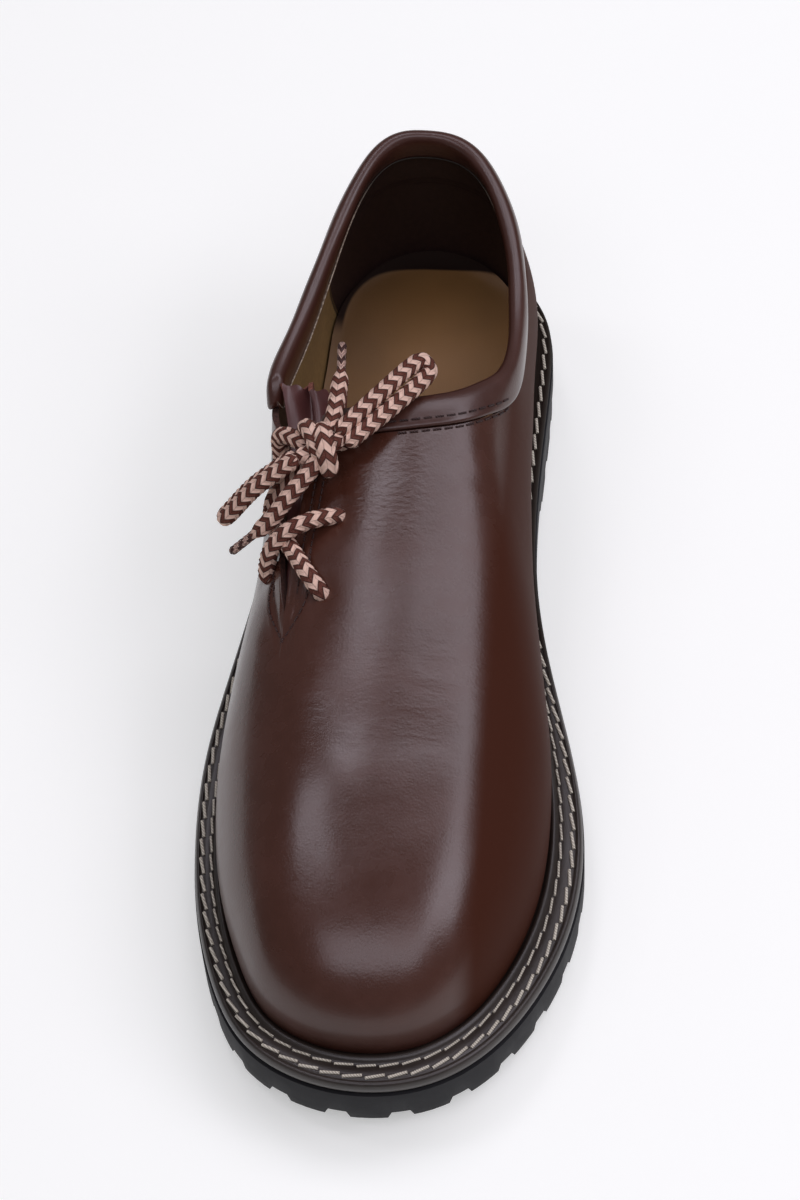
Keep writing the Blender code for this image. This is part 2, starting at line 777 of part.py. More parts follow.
def add_tongue(finish):
    """Pleated bellows tongue under the slit, clear of the upper's inside."""
    up = np.linspace(0.0, 1.0, TONGUE_ROWS)
    across = np.linspace(0.0, 1.0, TONGUE_COLUMNS)
    lateral = TONGUE_FOOT.lateral + (TONGUE_TOP.lateral - TONGUE_FOOT.lateral) * up
    vamp = TONGUE_FOOT.vamp + (TONGUE_TOP.vamp - TONGUE_FOOT.vamp) * up
    height = TONGUE_FOOT.height + (TONGUE_TOP.height - TONGUE_FOOT.height) * up
    depth = TONGUE_FOOT.pleat + (TONGUE_TOP.pleat - TONGUE_FOOT.pleat) * up ** TONGUE_DEEPEN
    points = []
    for share in across[::-1]:
        stations = lateral + (vamp - lateral) * share
        fold = depth * (0.5 - 0.5 * math.cos(2 * math.pi * TONGUE_PLEATS * share))
        inward = TONGUE_PLAY + TONGUE_BAND_PLAY * up + fold
        spots = skin(stations, height[:, None])[:, 0]
        points.extend(spots - skin_normals(stations, height[:, None])[:, 0] * inward[:, None])
    tongue = add_solid("tongue", points, sheet_faces(TONGUE_COLUMNS, TONGUE_ROWS), finish)
    sheet = tongue.modifiers.new("Sheet", "SOLIDIFY")
    sheet.thickness = TONGUE_THICK * MM
    sheet.offset = -1.0
    return tongue


def smooth_route(points, spacing):
    """Points at an even spacing on a smooth curve through a route's own points."""
    points = np.asarray(points, dtype=float)
    before = np.vstack([2 * points[0] - points[1], points[:-1]])
    after = np.vstack([points[1:], 2 * points[-1] - points[-2]])
    tangents = (after - before) / 2
    share = np.linspace(0.0, 1.0, ROUTE_STEPS, endpoint=False)[:, None]
    dense = []
    for start, end, leave, arrive in zip(points, points[1:], tangents, tangents[1:]):
        dense.append((2 * share ** 3 - 3 * share ** 2 + 1) * start
                     + (share ** 3 - 2 * share ** 2 + share) * leave
                     + (3 * share ** 2 - 2 * share ** 3) * end
                     + (share ** 3 - share ** 2) * arrive)
    dense = np.vstack([*dense, points[-1:]])
    walked = np.concatenate([[0.0], np.cumsum(np.linalg.norm(np.diff(dense, axis=0), axis=1))])
    places = np.linspace(0.0, walked[-1], max(3, round(walked[-1] / spacing) + 1))
    return np.column_stack([np.interp(places, walked, dense[:, axis]) for axis in range(3)])


def add_cord(name, route, diameter, spacing, finish):
    """Round cord along a route, closed at both ends."""
    curve = bpy.data.curves.new(name, "CURVE")
    curve.dimensions = "3D"
    curve.bevel_depth = diameter / 2 * MM
    curve.bevel_resolution = 2
    curve.use_fill_caps = True
    spots = smooth_route(route, spacing)
    spline = curve.splines.new("POLY")
    spline.points.add(len(spots) - 1)
    for point, spot in zip(spline.points, spots):
        point.co = (*(spot * MM), 1.0)
    curve.materials.append(finish)
    cord = bpy.data.objects.new(name, curve)
    bpy.context.scene.collection.objects.link(cord)
    return cord


def loop_route(middle):
    """Route out along one side of a bow loop's middle line, round its tip and back."""
    middle = np.asarray(middle, dtype=float)
    ahead = np.gradient(middle, axis=0)[:, :2]
    ahead /= np.linalg.norm(ahead, axis=1)[:, None]
    aside = np.column_stack([-ahead[:, 1], ahead[:, 0], np.zeros(len(middle))]) * LOOP_HALF
    tip = middle[-1] + np.append(ahead[-1], 0.0) * LOOP_HALF
    return np.vstack([middle + aside, tip, (middle - aside)[::-1]])


def add_tube(name, spots, finish):
    """Round tube as a mesh, closed at both ends."""
    points = []
    for place, spot in enumerate(spots):
        ahead = Vector(spots[min(place + 1, len(spots) - 1)] - spots[max(place - 1, 0)]).normalized()
        across = ahead.cross(Vector((0.0, 0.0, 1.0))).normalized()
        above = across.cross(ahead)
        for side in range(LACE_SIDES):
            angle = 2 * math.pi * (side + 0.5) / LACE_SIDES
            offset = across * math.cos(angle) + above * math.sin(angle)
            points.append(np.asarray(spot) + np.asarray(offset) * LACE / 2)
    return add_solid(name, points, ring_faces(len(spots), LACE_SIDES, closed=False), finish)


def lace_bar(start, end, raised):
    """Route over the slit from one lace hole to another, raised in the middle where it crosses over."""
    spots = []
    for share in np.linspace(0.0, 1.0, LACE_BAR_POINTS):
        x, y = (1 - share) * np.asarray(start) + share * np.asarray(end)
        spot, normal = on_skin(x, y)
        lift = LACE / 2 + LACE_LIFT + raised * math.sin(math.pi * share) ** 2
        spots.append(np.asarray(spot + normal * lift))
    return np.array(spots)


def add_lace_crossings(finish):
    """The lace's bars across the slit, joined where they cross and where they meet at a hole."""
    low, middle, high = HOLES
    routes = (
        (low[:2], middle[2:], 0.0),
        (middle[:2], low[2:], LACE_CROSS),
        (middle[2:], high[:2], LACE_REST),
    )
    bars = []
    for number, (start, end, raised) in enumerate(routes):
        name = "lace_crossings" if number == 0 else "bar_{}".format(number)
        bars.append(add_tube(name, lace_bar(start, end, raised), finish))
    for bar in bars[1:]:
        bar.hide_render = True
        bar.display_type = "WIRE"
        joint = bars[0].modifiers.new("Join " + bar.name, "BOOLEAN")
        joint.operation = "UNION"
        joint.object = bar
    return bars[0]


def add_knot(finish):
    """Body of the bow's knot."""
    centre, half = KNOT
    rings = 8
    sides = 12
    points = [(centre[0], centre[1], centre[2] - half[2])]
    for ring in range(1, rings):
        tilt = math.pi * ring / rings
        for side in range(sides):
            turn = 2 * math.pi * side / sides
            points.append((centre[0] + half[0] * math.sin(tilt) * math.cos(turn),
                           centre[1] + half[1] * math.sin(tilt) * math.sin(turn),
                           centre[2] - half[2] * math.cos(tilt)))
    points.append((centre[0], centre[1], centre[2] + half[2]))
    top = len(points) - 1
    faces = []
    for side in range(sides):
        after = (side + 1) % sides
        faces.append((0, 1 + after, 1 + side))
        faces.append((top, top - sides + side, top - sides + after))
        for ring in range(rings - 2):
            corner = 1 + ring * sides
            faces.append((corner + side, corner + after, corner + sides + after, corner + sides + side))
    return add_solid("lace_knot", points, faces, finish)


def main():
    """Build every piece of the shoe."""
    for old in list(bpy.data.objects):
        bpy.data.objects.remove(old, do_unlink=True)
    finishes = add_finishes()
    add_outsole(finishes["outsole"])
    add_heel(finishes["heel"])
    add_welt(finishes["welt"])
    add_insole(finishes["insole"])
    add_upper(finishes["upper"])
    add_collar_band(finishes["collar_band"])
    add_tongue(finishes["tongue"])
    add_lace_crossings(finishes["lace"])
    add_knot(finishes["lace"])
    for name, middle in LOOPS.items():
        add_cord(name, loop_route(middle), LACE, LACE, finishes["lace"])
    for name, route in ENDS.items():
        add_cord(name, route, LACE, 2 * LACE, finishes["lace"])
    for name, route in AGLETS.items():
        add_cord(name, route, AGLET, 2 * AGLET, finishes["aglet"])


main()
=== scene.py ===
"""A haferl shoe for the right foot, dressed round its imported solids.

The toe points to -Y, the inner side of the foot is +X and the floor is z = 0.
Shapes are worked out in millimetres and MM turns them into metres when a mesh is made.
"""
import logging
import math
from contextlib import contextmanager
from dataclasses import dataclass
from enum import Enum
from functools import cached_property
from typing import Callable, Iterator, NamedTuple, Optional, Sequence

import bmesh
import bpy
import numpy as np
from mathutils import Matrix, Vector
from mathutils.bvhtree import BVHTree

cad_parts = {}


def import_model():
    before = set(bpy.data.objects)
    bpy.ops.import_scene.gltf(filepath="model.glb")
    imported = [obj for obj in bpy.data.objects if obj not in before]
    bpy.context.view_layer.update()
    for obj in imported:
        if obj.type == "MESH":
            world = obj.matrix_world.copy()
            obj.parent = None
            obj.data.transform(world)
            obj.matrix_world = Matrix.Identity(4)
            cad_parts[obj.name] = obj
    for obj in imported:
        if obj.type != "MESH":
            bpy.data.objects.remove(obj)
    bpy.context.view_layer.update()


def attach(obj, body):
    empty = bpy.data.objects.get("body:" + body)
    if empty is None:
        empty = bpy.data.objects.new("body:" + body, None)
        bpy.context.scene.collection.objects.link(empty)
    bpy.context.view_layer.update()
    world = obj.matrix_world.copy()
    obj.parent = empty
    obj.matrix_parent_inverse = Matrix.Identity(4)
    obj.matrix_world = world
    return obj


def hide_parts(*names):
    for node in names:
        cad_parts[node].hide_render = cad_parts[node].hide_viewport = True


LOG = logging.getLogger("haferl_shoe")
MM = 0.001
Colour = tuple[float, float, float]
Spot = tuple[float, float, float]
Pair = tuple[float, float]
Array = np.ndarray
Piece = bpy.types.Object
Socket = bpy.types.NodeSocket


class OutlineRow(NamedTuple):
    """Edge of the sole at one place along it."""

    along: float    # share of the length, from the toe tip
    medial: float   # share of the ball width, to the inner side
    lateral: float  # share of the ball width, to the outer side


OUTLINE = tuple(OutlineRow(*row) for row in (
    (0.014, 0.161, 0.184),
    (0.049, 0.284, 0.313),
    (0.112, 0.395, 0.409),
    (0.192, 0.471, 0.473),
    (0.279, 0.495, 0.505),
    (0.366, 0.467, 0.507),
    (0.470, 0.396, 0.471),
    (0.577, 0.330, 0.418),
    (0.698, 0.314, 0.376),
    (0.831, 0.324, 0.353),
    (0.906, 0.307, 0.337),
    (0.963, 0.214, 0.250),
))


class Rib(NamedTuple):
    """One line of the upper, from the welt to the top of the collar."""

    station: float  # 0 at the heel, about 1 at the toe tip, 2 at the heel again
    margin: float   # welt that shows outside the upper
    top_x: float    # top of the collar
    top_y: float
    top_z: float
    wall: float     # height of the lower handle
    bulge: float    # how far the lower handle leans out
    reach: float    # share of the way back to the welt at the upper handle
    drop: float     # how far the upper handle lies below the collar


RIBS = tuple(Rib(*row) for row in (
    (0.00, 5.0, -2.5, 139.8, 94.3, 22.0, 5.0, 0.80, 24.0),
    (0.10, 5.9, 12.4, 135.2, 92.3, 22.0, 5.0, 0.80, 24.0),
    (0.20, 6.0, 25.0, 113.0, 86.5, 22.0, 4.6, 0.70, 24.0),
    (0.30, 4.9, 29.6, 88.0, 81.0, 22.0, 6.2, 0.60, 22.0),
    (0.42, 4.4, 28.8, 64.0, 81.0, 26.0, 6.8, 0.42, 22.0),
    (0.54, 7.0, 21.5, 53.0, 84.2, 30.0, 5.0, 0.46, 18.0),
    (0.66, 10.2, 14.5, 47.6, 86.3, 34.0, 5.0, 0.52, 20.0),
    (0.76, 11.0, 9.5, 45.4, 87.0, 37.0, 5.0, 0.57, 23.0),
    (0.86, 11.0, 5.0, 44.2, 87.2, 40.0, 5.0, 0.60, 25.0),
    (1.00, 11.5, -1.0, 43.0, 87.0, 42.0, 5.0, 0.62, 27.0),
    (1.14, 9.7, -7.0, 42.1, 86.3, 40.0, 5.0, 0.60, 25.0),
    (1.24, 8.5, -12.0, 41.6, 85.2, 37.0, 5.0, 0.57, 23.0),
    (1.34, 8.0, -19.0, 41.6, 83.0, 34.0, 4.6, 0.52, 20.0),
    (1.46, 8.2, -30.0, 44.5, 79.5, 30.0, 2.6, 0.46, 18.0),
    (1.58, 6.2, -41.5, 55.0, 77.5, 26.0, 3.2, 0.42, 20.0),
    (1.70, 5.2, -37.6, 77.0, 78.0, 22.0, 4.4, 0.60, 22.0),
    (1.80, 5.5, -29.4, 105.2, 83.8, 22.0, 4.8, 0.70, 24.0),
    (1.90, 5.8, -17.0, 133.8, 92.2, 22.0, 5.0, 0.80, 24.0),
))


class SlitRow(NamedTuple):
    """The two edges of the side slit at one place along it."""

    y: float
    lateral_x: float
    vamp_x: float


SLIT = tuple(SlitRow(*row) for row in (
    (-18.5, -31.1, -31.1),
    (-15.0, -32.0, -30.6),
    (0.0, -34.2, -30.2),
    (20.0, -37.0, -28.4),
    (40.0, -39.4, -25.6),
    (50.0, -40.4, -24.0),
    (66.0, -33.0, -21.0),
))


class HolePair(NamedTuple):
    """Two lace holes that face each other across the slit."""

    vamp_x: float
    vamp_y: float
    lateral_x: float
    lateral_y: float


HOLES = tuple(HolePair(*row) for row in (
    (-20.9, -16.0, -38.5, -3.0),
    (-18.2, 7.5, -39.3, 17.0),
    (-15.0, 31.0, -40.8, 35.0),
))


class Crease(NamedTuple):
    """A soft trough in the leather, bowed between two plan points."""

    from_x: float
    from_y: float
    to_x: float
    to_y: float
    bow: float    # how far its middle lies towards the heel
    depth: float
    width: float


CREASES = tuple(Crease(*row) for row in (
    (-44.0, -46.0, 41.0, -47.0, -13.0, 0.21, 9.0),
    (8.0, -38.0, 34.0, -33.0, -3.0, 0.06, 2.6),
    (2.0, -45.5, 31.0, -40.0, -3.0, 0.05, 2.6),
    (-4.0, -62.0, 28.0, -56.0, -3.0, 0.05, 2.8),
    (-27.0, -59.0, 2.0, -64.0, -2.0, 0.05, 2.8),
    (-42.0, -20.0, -27.0, -33.0, 2.0, 0.30, 3.2),
    (-38.0, -31.0, -20.0, -41.0, -1.0, 0.18, 3.4),
    (-13.0, 18.0, 6.0, 24.0, -2.0, 0.06, 2.8),
    (14.0, 26.0, 33.0, 20.0, -3.0, 0.08, 3.0),
    (-36.4, -6.0, -31.2, -30.0, -1.0, 0.42, 0.9),
    (-24.4, -11.0, -31.2, -30.0, -1.0, 0.36, 0.9),
))


def closed_spline(knots: Array, values: Array, period: float, places: Array) -> Array:
    """Read a smooth closed curve through values at knots.

    Args:
        knots: Places of the values, rising.
        values: A row for each knot.
        period: Length after which the curve repeats.
        places: Where the curve is read.

    Returns:
        A row for each place.
    """
    count = len(knots)
    steps = np.diff(np.append(knots, knots[0] + period))
    slopes = (np.roll(values, -1, axis=0) - values) / steps[:, None]
    matrix = np.zeros((count, count))
    for row in range(count):
        matrix[row, row - 1] += steps[row - 1]
        matrix[row, row] += 2 * (steps[row - 1] + steps[row])
        matrix[row, (row + 1) % count] += steps[row]
    bends = np.linalg.solve(matrix, 6 * (slopes - np.roll(slopes, 1, axis=0)))
    wrapped = (np.asarray(places) - knots[0]) % period + knots[0]
    row = np.searchsorted(knots, wrapped, side="right") - 1
    after = (row + 1) % count
    step = steps[row][:, None]
    right = (wrapped - knots[row])[:, None]
    left = step - right
    cubic = (bends[row] * left ** 3 + bends[after] * right ** 3) / (6 * step)
    start = (values[row] / step - bends[row] * step / 6) * left
    end = (values[after] / step - bends[after] * step / 6) * right
    return cubic + start + end


def closed_curve(points: Array, count: int, endpoint: bool) -> Array:
    """Read a smooth closed curve at even steps.

    Args:
        points: Points that it goes through.
        count: How many points are read.
        endpoint: Whether the last one closes the curve.

    Returns:
        The points that are read.
    """
    chords = np.linalg.norm(np.roll(points, -1, axis=0) - points, axis=1)
    knots = np.concatenate([[0.0], np.cumsum(chords)[:-1]])
    places = np.linspace(0.0, chords.sum(), count, endpoint=endpoint)
    return closed_spline(knots, points, chords.sum(), places)


def walked_along(points: Array) -> Array:
    """Distance walked along a line at each of its points."""
    return np.concatenate([[0.0], np.cumsum(np.linalg.norm(np.diff(points, axis=0), axis=1))])


def smooth_step(share: Array) -> Array:
    """Ease from 0 to 1 as the share goes from 0 to 1."""
    share = np.clip(share, 0.0, 1.0)
    return share * share * (3 - 2 * share)


def unit(vectors: Array) -> Array:
    """Vectors of length 1 in the same directions."""
    return vectors / np.linalg.norm(vectors, axis=-1, keepdims=True)


def grid_faces(columns: int, rows: int, closed: bool) -> list[tuple[int, ...]]:
    """List the quads of a sheet of points kept column by column.

    Args:
        columns: Number of columns.
        rows: Points in a column.
        closed: Whether the last column joins the first.

    Returns:
        Corner indices of each quad.
    """
    faces = []
    for column in range(columns if closed else columns - 1):
        following = (column + 1) % columns
        for row in range(rows - 1):
            faces.append((column * rows + row, column * rows + row + 1,
                          following * rows + row + 1, following * rows + row))
    return faces


def sweep_faces(count: int, sides: int, closed: bool) -> list[tuple[int, ...]]:
    """List the faces of a sweep with a closed section, capped where the sweep is open.

    Args:
        count: Number of sections.
        sides: Points in a section.
        closed: Whether the last section joins the first.

    Returns:
        Corner indices of each face.
    """
    faces = []
    for column in range(count if closed else count - 1):
        following = (column + 1) % count
        for side in range(sides):
            after = (side + 1) % sides
            faces.append((column * sides + side, following * sides + side,
                          following * sides + after, column * sides + after))
    if not closed:
        faces.append(tuple(range(sides)))
        faces.append(tuple(reversed(range((count - 1) * sides, count * sides))))
    return faces


def add_piece(name: str, points: Array, faces: Sequence[Sequence[int]]) -> Piece:
    """Make a smooth-shaded object from points in millimetres.

    Args:
        name: Name of the piece.
        points: Its points.
        faces: Corner indices of its faces.

    Returns:
        The new object, linked to the scene.
    """
    mesh = bpy.data.meshes.new(name)
    mesh.from_pydata((np.asarray(points) * MM).tolist(), [], [list(face) for face in faces])
    mesh.validate()
    mesh.shade_smooth()
    piece = bpy.data.objects.new(name, mesh)
    bpy.context.scene.collection.objects.link(piece)
    return piece


def add_uv(piece: Piece, values: Array) -> None:
    """Give a piece a UV map from one pair of values for each corner, in the order of its loops."""
    layer = piece.data.uv_layers.new(name="Run")
    layer.data.foreach_set("uv", np.asarray(values, dtype=np.float32).ravel())


def bake(piece: Piece) -> None:
    """Turn a piece's modifiers into its plain mesh.

    Args:
        piece: Object with live modifiers, which then has none.
    """
    graph = bpy.context.evaluated_depsgraph_get()
    mesh = bpy.data.meshes.new_from_object(piece.evaluated_get(graph))
    mesh.name = piece.name
    old = piece.data
    piece.modifiers.clear()
    piece.data = mesh
    bpy.data.meshes.remove(old)


@contextmanager
def opened(piece: Piece) -> Iterator[bmesh.types.BMesh]:
    """Open a piece's mesh for edits.

    Args:
        piece: The piece, which has the edits when the block ends.

    Yields:
        Its mesh.
    """
    shape = bmesh.new()
    shape.from_mesh(piece.data)
    yield shape
    shape.to_mesh(piece.data)
    shape.free()


def crisp(piece: Piece, degrees: float) -> None:
    """Keep edges that turn more than some degrees sharp."""
    piece.data.set_sharp_from_angle(angle=math.radians(degrees))


def settle(piece: Piece, slot: Optional[str], *nodes: str) -> Piece:
    """Let a finished piece ride on the shoe's one body.

    Args:
        piece: The finished piece.
        slot: Name of a material slot of the record; not used.
        nodes: Solids that it stands for.

    Returns:
        The piece.
    """
    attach(piece, "root")
    if nodes:
        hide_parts(*nodes)
    LOG.info("%s: %d faces", piece.name, len(piece.data.polygons))
    return piece


@dataclass
class Last:
    """The form of the shoe: the sole's edge and the skin of the upper over it."""

    sole_length: float = 298.0
    ball_width: float = 112.6
    end_shift: float = -2.5
    rubber: float = 12.7
    plate: float = 9.8
    toe_spring: float = 9.4
    spring_start: float = -66.0
    spring_power: float = 1.8
    heel_rise: float = 10.8
    rise_from: float = -22.0
    rise_to: float = 60.0
    gap: float = 0.3
    welt: float = 5.0
    wall: float = 2.0
    band_height: float = 10.4
    edge_samples: int = 2400
    table_columns: int = 400
    table_rows: int = 161
    above: float = 120.0  # a height over the whole shoe
    beside: float = 64.0  # height of the slit's outer edge

    def __post_init__(self) -> None:
        """Work out the sole's edge and a table of the skin."""
        self._trace_edge()
        self.rib_stations = np.array([rib.station for rib in RIBS])
        self.rib_table = np.array([rib[1:] for rib in RIBS])
        self.columns = np.linspace(0.0, 2.0, self.table_columns, endpoint=False)
        self.shares = np.linspace(0.0, 1.0, self.table_rows)
        stations = np.repeat(self.columns, self.table_rows)
        heights = np.tile(self.shares, self.table_columns)
        self.table = self.skin(stations, heights).reshape(self.table_columns, self.table_rows, 3)
        lengths = np.linalg.norm(np.diff(self.table[:, ::-1], axis=1), axis=2)
        start = np.zeros((self.table_columns, 1))
        self.walked = np.concatenate([start, np.cumsum(lengths, axis=1)], axis=1)
        points = [Vector(point) for point in self.table.reshape(-1, 3)]
        self.tree = BVHTree.FromPolygons(points, grid_faces(self.table_columns, self.table_rows, True))

    def _trace_edge(self) -> None:
        """Trace the sole's edge at even steps."""
        half = self.sole_length / 2
        medial = [(row.medial * self.ball_width, row.along * self.sole_length - half) for row in OUTLINE]
        lateral = [(-row.lateral * self.ball_width, row.along * self.sole_length - half) for row in OUTLINE]
        points = np.array([(self.end_shift, half), *medial[::-1], (self.end_shift, -half), *lateral])
        self.edge = closed_curve(points, self.edge_samples + 1, True)
        self.edge[:, 0] -= (self.edge[:, 0].max() + self.edge[:, 0].min()) / 2
        walked = walked_along(self.edge)
        self.edge_length = walked[-1]
        self.edge_stations = 2 * walked / walked[-1]
        self.toe = int(np.argmin(self.edge[:, 1]))

    def at(self, stations: Array) -> Array:
        """Plan points on the sole's edge."""
        wrapped = np.asarray(stations) % 2.0
        return np.column_stack([np.interp(wrapped, self.edge_stations, side) for side in self.edge.T])

    def outward(self, stations: Array) -> Array:
        """Find the unit plan normals of the edge, pointing away from the shoe.

        Args:
            stations: Places round the shoe.

        Returns:
            A normal for each place.
        """
        step = 0.004
        along = self.at(np.asarray(stations) + step) - self.at(np.asarray(stations) - step)
        return unit(np.stack([-along[:, 1], along[:, 0]], axis=-1))

    def inset(self, stations: Array, depth: Array | float) -> Array:
        """Plan points inside the edge by a depth."""
        depth = np.broadcast_to(depth, np.shape(stations))
        return self.at(stations) - self.outward(stations) * depth[:, None]

    def station_at_y(self, y: float, medial: bool) -> float:
        """Find where one side of the edge crosses y.

        Args:
            y: Place along the shoe.
            medial: Whether it is the inner side.

        Returns:
            The station.
        """
        if medial:
            return float(np.interp(-y, -self.edge[: self.toe + 1, 1], self.edge_stations[: self.toe + 1]))
        return float(np.interp(y, self.edge[self.toe:, 1], self.edge_stations[self.toe:]))

    def station_at_angle(self, centre: Pair, angle: float) -> float:
        """Station that lies in one plan direction from a centre, counted from +Y towards +X."""
        turn = np.unwrap(np.arctan2(self.edge[:, 0] - centre[0], self.edge[:, 1] - centre[1]))
        return float(np.interp(angle, turn - turn[0], self.edge_stations))

    def rubber_top(self, y: Array) -> Array:
        """Find the top of the rubber sole.

        Args:
            y: Places along the shoe.

        Returns:
            A height for each place.
        """
        reach = (self.spring_start - np.asarray(y)) / (self.spring_start + self.sole_length / 2)
        spring = self.toe_spring * np.clip(reach, 0.0, 1.0) ** self.spring_power
        rise = smooth_step((np.asarray(y) - self.rise_from) / (self.rise_to - self.rise_from))
        return self.rubber + spring + self.heel_rise * rise

    def welt_top(self, y: Array) -> Array:
        """Upper face of the welt."""
        return self.rubber_top(y) + self.gap + self.welt

    def ribs(self, stations: Array) -> Array:
        """Rib columns between the table's rows."""
        return closed_spline(self.rib_stations, self.rib_table, 2.0, stations)

    def skin(self, stations: Array, heights: Array) -> Array:
        """Find points on the outer surface of the upper.

        Args:
            stations: Place round the shoe of each point.
            heights: Share of the rib's height of each point, 0 at the welt and 1 at the collar's top.

        Returns:
            A point for each pair.
        """
        values = self.ribs(stations)
        foot = self.inset(stations, values[:, 0])
        start = np.column_stack([foot, self.welt_top(foot[:, 1]) + self.gap])
        top = values[:, 1:4]
        lower = start + np.column_stack([self.outward(stations) * values[:, 5:6], values[:, 4]])
        upper = top + np.column_stack([(foot - top[:, :2]) * values[:, 6:7], -values[:, 7]])
        t = np.asarray(heights)[:, None]
        wall = (1 - t) ** 3 * start + 3 * t * (1 - t) ** 2 * lower
        return wall + 3 * t * t * (1 - t) * upper + t ** 3 * top

    def normals(self, stations: Array, heights: Array) -> Array:
        """Find the outward unit normals of the skin.

        Args:
            stations: Place round the shoe of each point.
            heights: Share of the rib's height of each point.

        Returns:
            A normal for each point.
        """
        step = 0.003
        around = self.skin(stations + step, heights) - self.skin(stations - step, heights)
        up = self.skin(stations, heights + step) - self.skin(stations, heights - step)
        return unit(np.cross(up, around))

    def below_top(self, stations: Array, distance: float) -> Array:
        """Share of each rib's height that lies a distance along the skin below the collar's top."""
        heights = [np.interp(distance, row, self.shares[::-1]) for row in self.walked]
        return np.interp(np.asarray(stations) % 2.0, self.columns, heights, period=2.0)

    def on_skin(self, x: float, y: float) -> tuple[Array, Array]:
        """Find the skin above a plan point, or beside it where the wall stands further in.

        Args:
            x: Place across the shoe.
            y: Place along the shoe.

        Returns:
            The point and its outward normal.
        """
        spot, normal, _, _ = self.tree.ray_cast(Vector((x, y, self.above)), Vector((0.0, 0.0, -1.0)))
        if spot is None:
            spot, normal, _, _ = self.tree.find_nearest(Vector((x, y, self.beside)))
        normal = np.array(normal)
        return np.array(spot), normal if normal[2] > 0 else -normal


class Wire:
    """A number that runs through a material, with arithmetic that adds Math nodes."""

    def __init__(self, tree: bpy.types.NodeTree, socket: Socket) -> None:
        """Wrap an output socket."""
        self.tree = tree
        self.socket = socket

    def work(self, operation: str, *terms: "float | Wire") -> "Wire":
        """Add a Math node.

        Args:
            operation: Name of the node's operation.
            terms: Numbers or wires, in the node's order.

        Returns:
            The result.
        """
        node = self.tree.nodes.new("ShaderNodeMath")
        node.operation = operation
        for socket, term in zip(node.inputs, terms):
            if isinstance(term, Wire):
                self.tree.links.new(term.socket, socket)
            else:
                socket.default_value = term
        return Wire(self.tree, node.outputs[0])

    def __add__(self, other: "float | Wire") -> "Wire":
        """Sum."""
        return self.work("ADD", self, other)

    __radd__ = __add__

    def __sub__(self, other: "float | Wire") -> "Wire":
        """Difference."""
        return self.work("SUBTRACT", self, other)

    def __rsub__(self, other: "float | Wire") -> "Wire":
        """Difference from a number."""
        return self.work("SUBTRACT", other, self)

    def __mul__(self, other: "float | Wire") -> "Wire":
        """Product."""
        return self.work("MULTIPLY", self, other)

    __rmul__ = __mul__

    def __truediv__(self, other: "float | Wire") -> "Wire":
        """Quotient."""
        return self.work("DIVIDE", self, other)

    def __rtruediv__(self, other: "float | Wire") -> "Wire":
        """Quotient of a number."""
        return self.work("DIVIDE", other, self)

    def __abs__(self) -> "Wire":
        """Size without its sign."""
        return self.work("ABSOLUTE", self)

    def most(self, other: "float | Wire") -> "Wire":
        """The larger of two."""
        return self.work("MAXIMUM", self, other)

    def root(self) -> "Wire":
        """Square root."""
        return self.work("SQRT", self)

    def fraction(self) -> "Wire":
        """What is left after whole steps."""
        return self.work("FRACT", self)

    def sine(self) -> "Wire":
        """Sine of an angle in radians."""
        return self.work("SINE", self)

    def ease(self, low: float, high: float) -> "Wire":
        """Rise smoothly from 0 to 1.

        Args:
            low: Where the rise starts.
            high: Where it ends.

        Returns:
            The eased share.
        """
        node = self.tree.nodes.new("ShaderNodeMapRange")
        node.interpolation_type = "SMOOTHSTEP"
        self.tree.links.new(self.socket, node.inputs["Value"])
        node.inputs["From Min"].default_value = low
        node.inputs["From Max"].default_value = high
        return Wire(self.tree, node.outputs["Result"])

    def between(self, rise_from: float, rise_to: float, fall_from: float, fall_to: float) -> "Wire":
        """Rise smoothly from 0 to 1 and fall back to 0."""
        return self.ease(rise_from, rise_to) - self.ease(fall_from, fall_to)


class Tree:
    """A node tree while it is being built."""

    def __init__(self, tree: bpy.types.NodeTree) -> None:
        """Take the tree that nodes are added to."""
        self.tree = tree

    def node(self, kind: str, settings: Optional[dict] = None,
             inputs: Optional[dict] = None) -> bpy.types.Node:
        """Add a node.

        Args:
            kind: Type of the node.
            settings: Its own settings, set first.
            inputs: Values or links of its sockets, by name or place.

        Returns:
            The node.
        """
        node = self.tree.nodes.new(kind)
        for key, value in (settings or {}).items():
            setattr(node, key, value)
        for key, value in (inputs or {}).items():
            self.feed(node.inputs[key], value)
        return node

    def feed(self, socket: Socket, value: object) -> None:
        """Set a socket, or link something to it.

        Args:
            socket: An input of a node.
            value: A number, a colour, a wire or another node's output.
        """
        if isinstance(value, Wire):
            self.tree.links.new(value.socket, socket)
        elif isinstance(value, Socket):
            self.tree.links.new(value, socket)
        elif isinstance(value, tuple) and len(value) == 3 and socket.type == "RGBA":
            socket.default_value = (*value, 1.0)
        else:
            socket.default_value = value


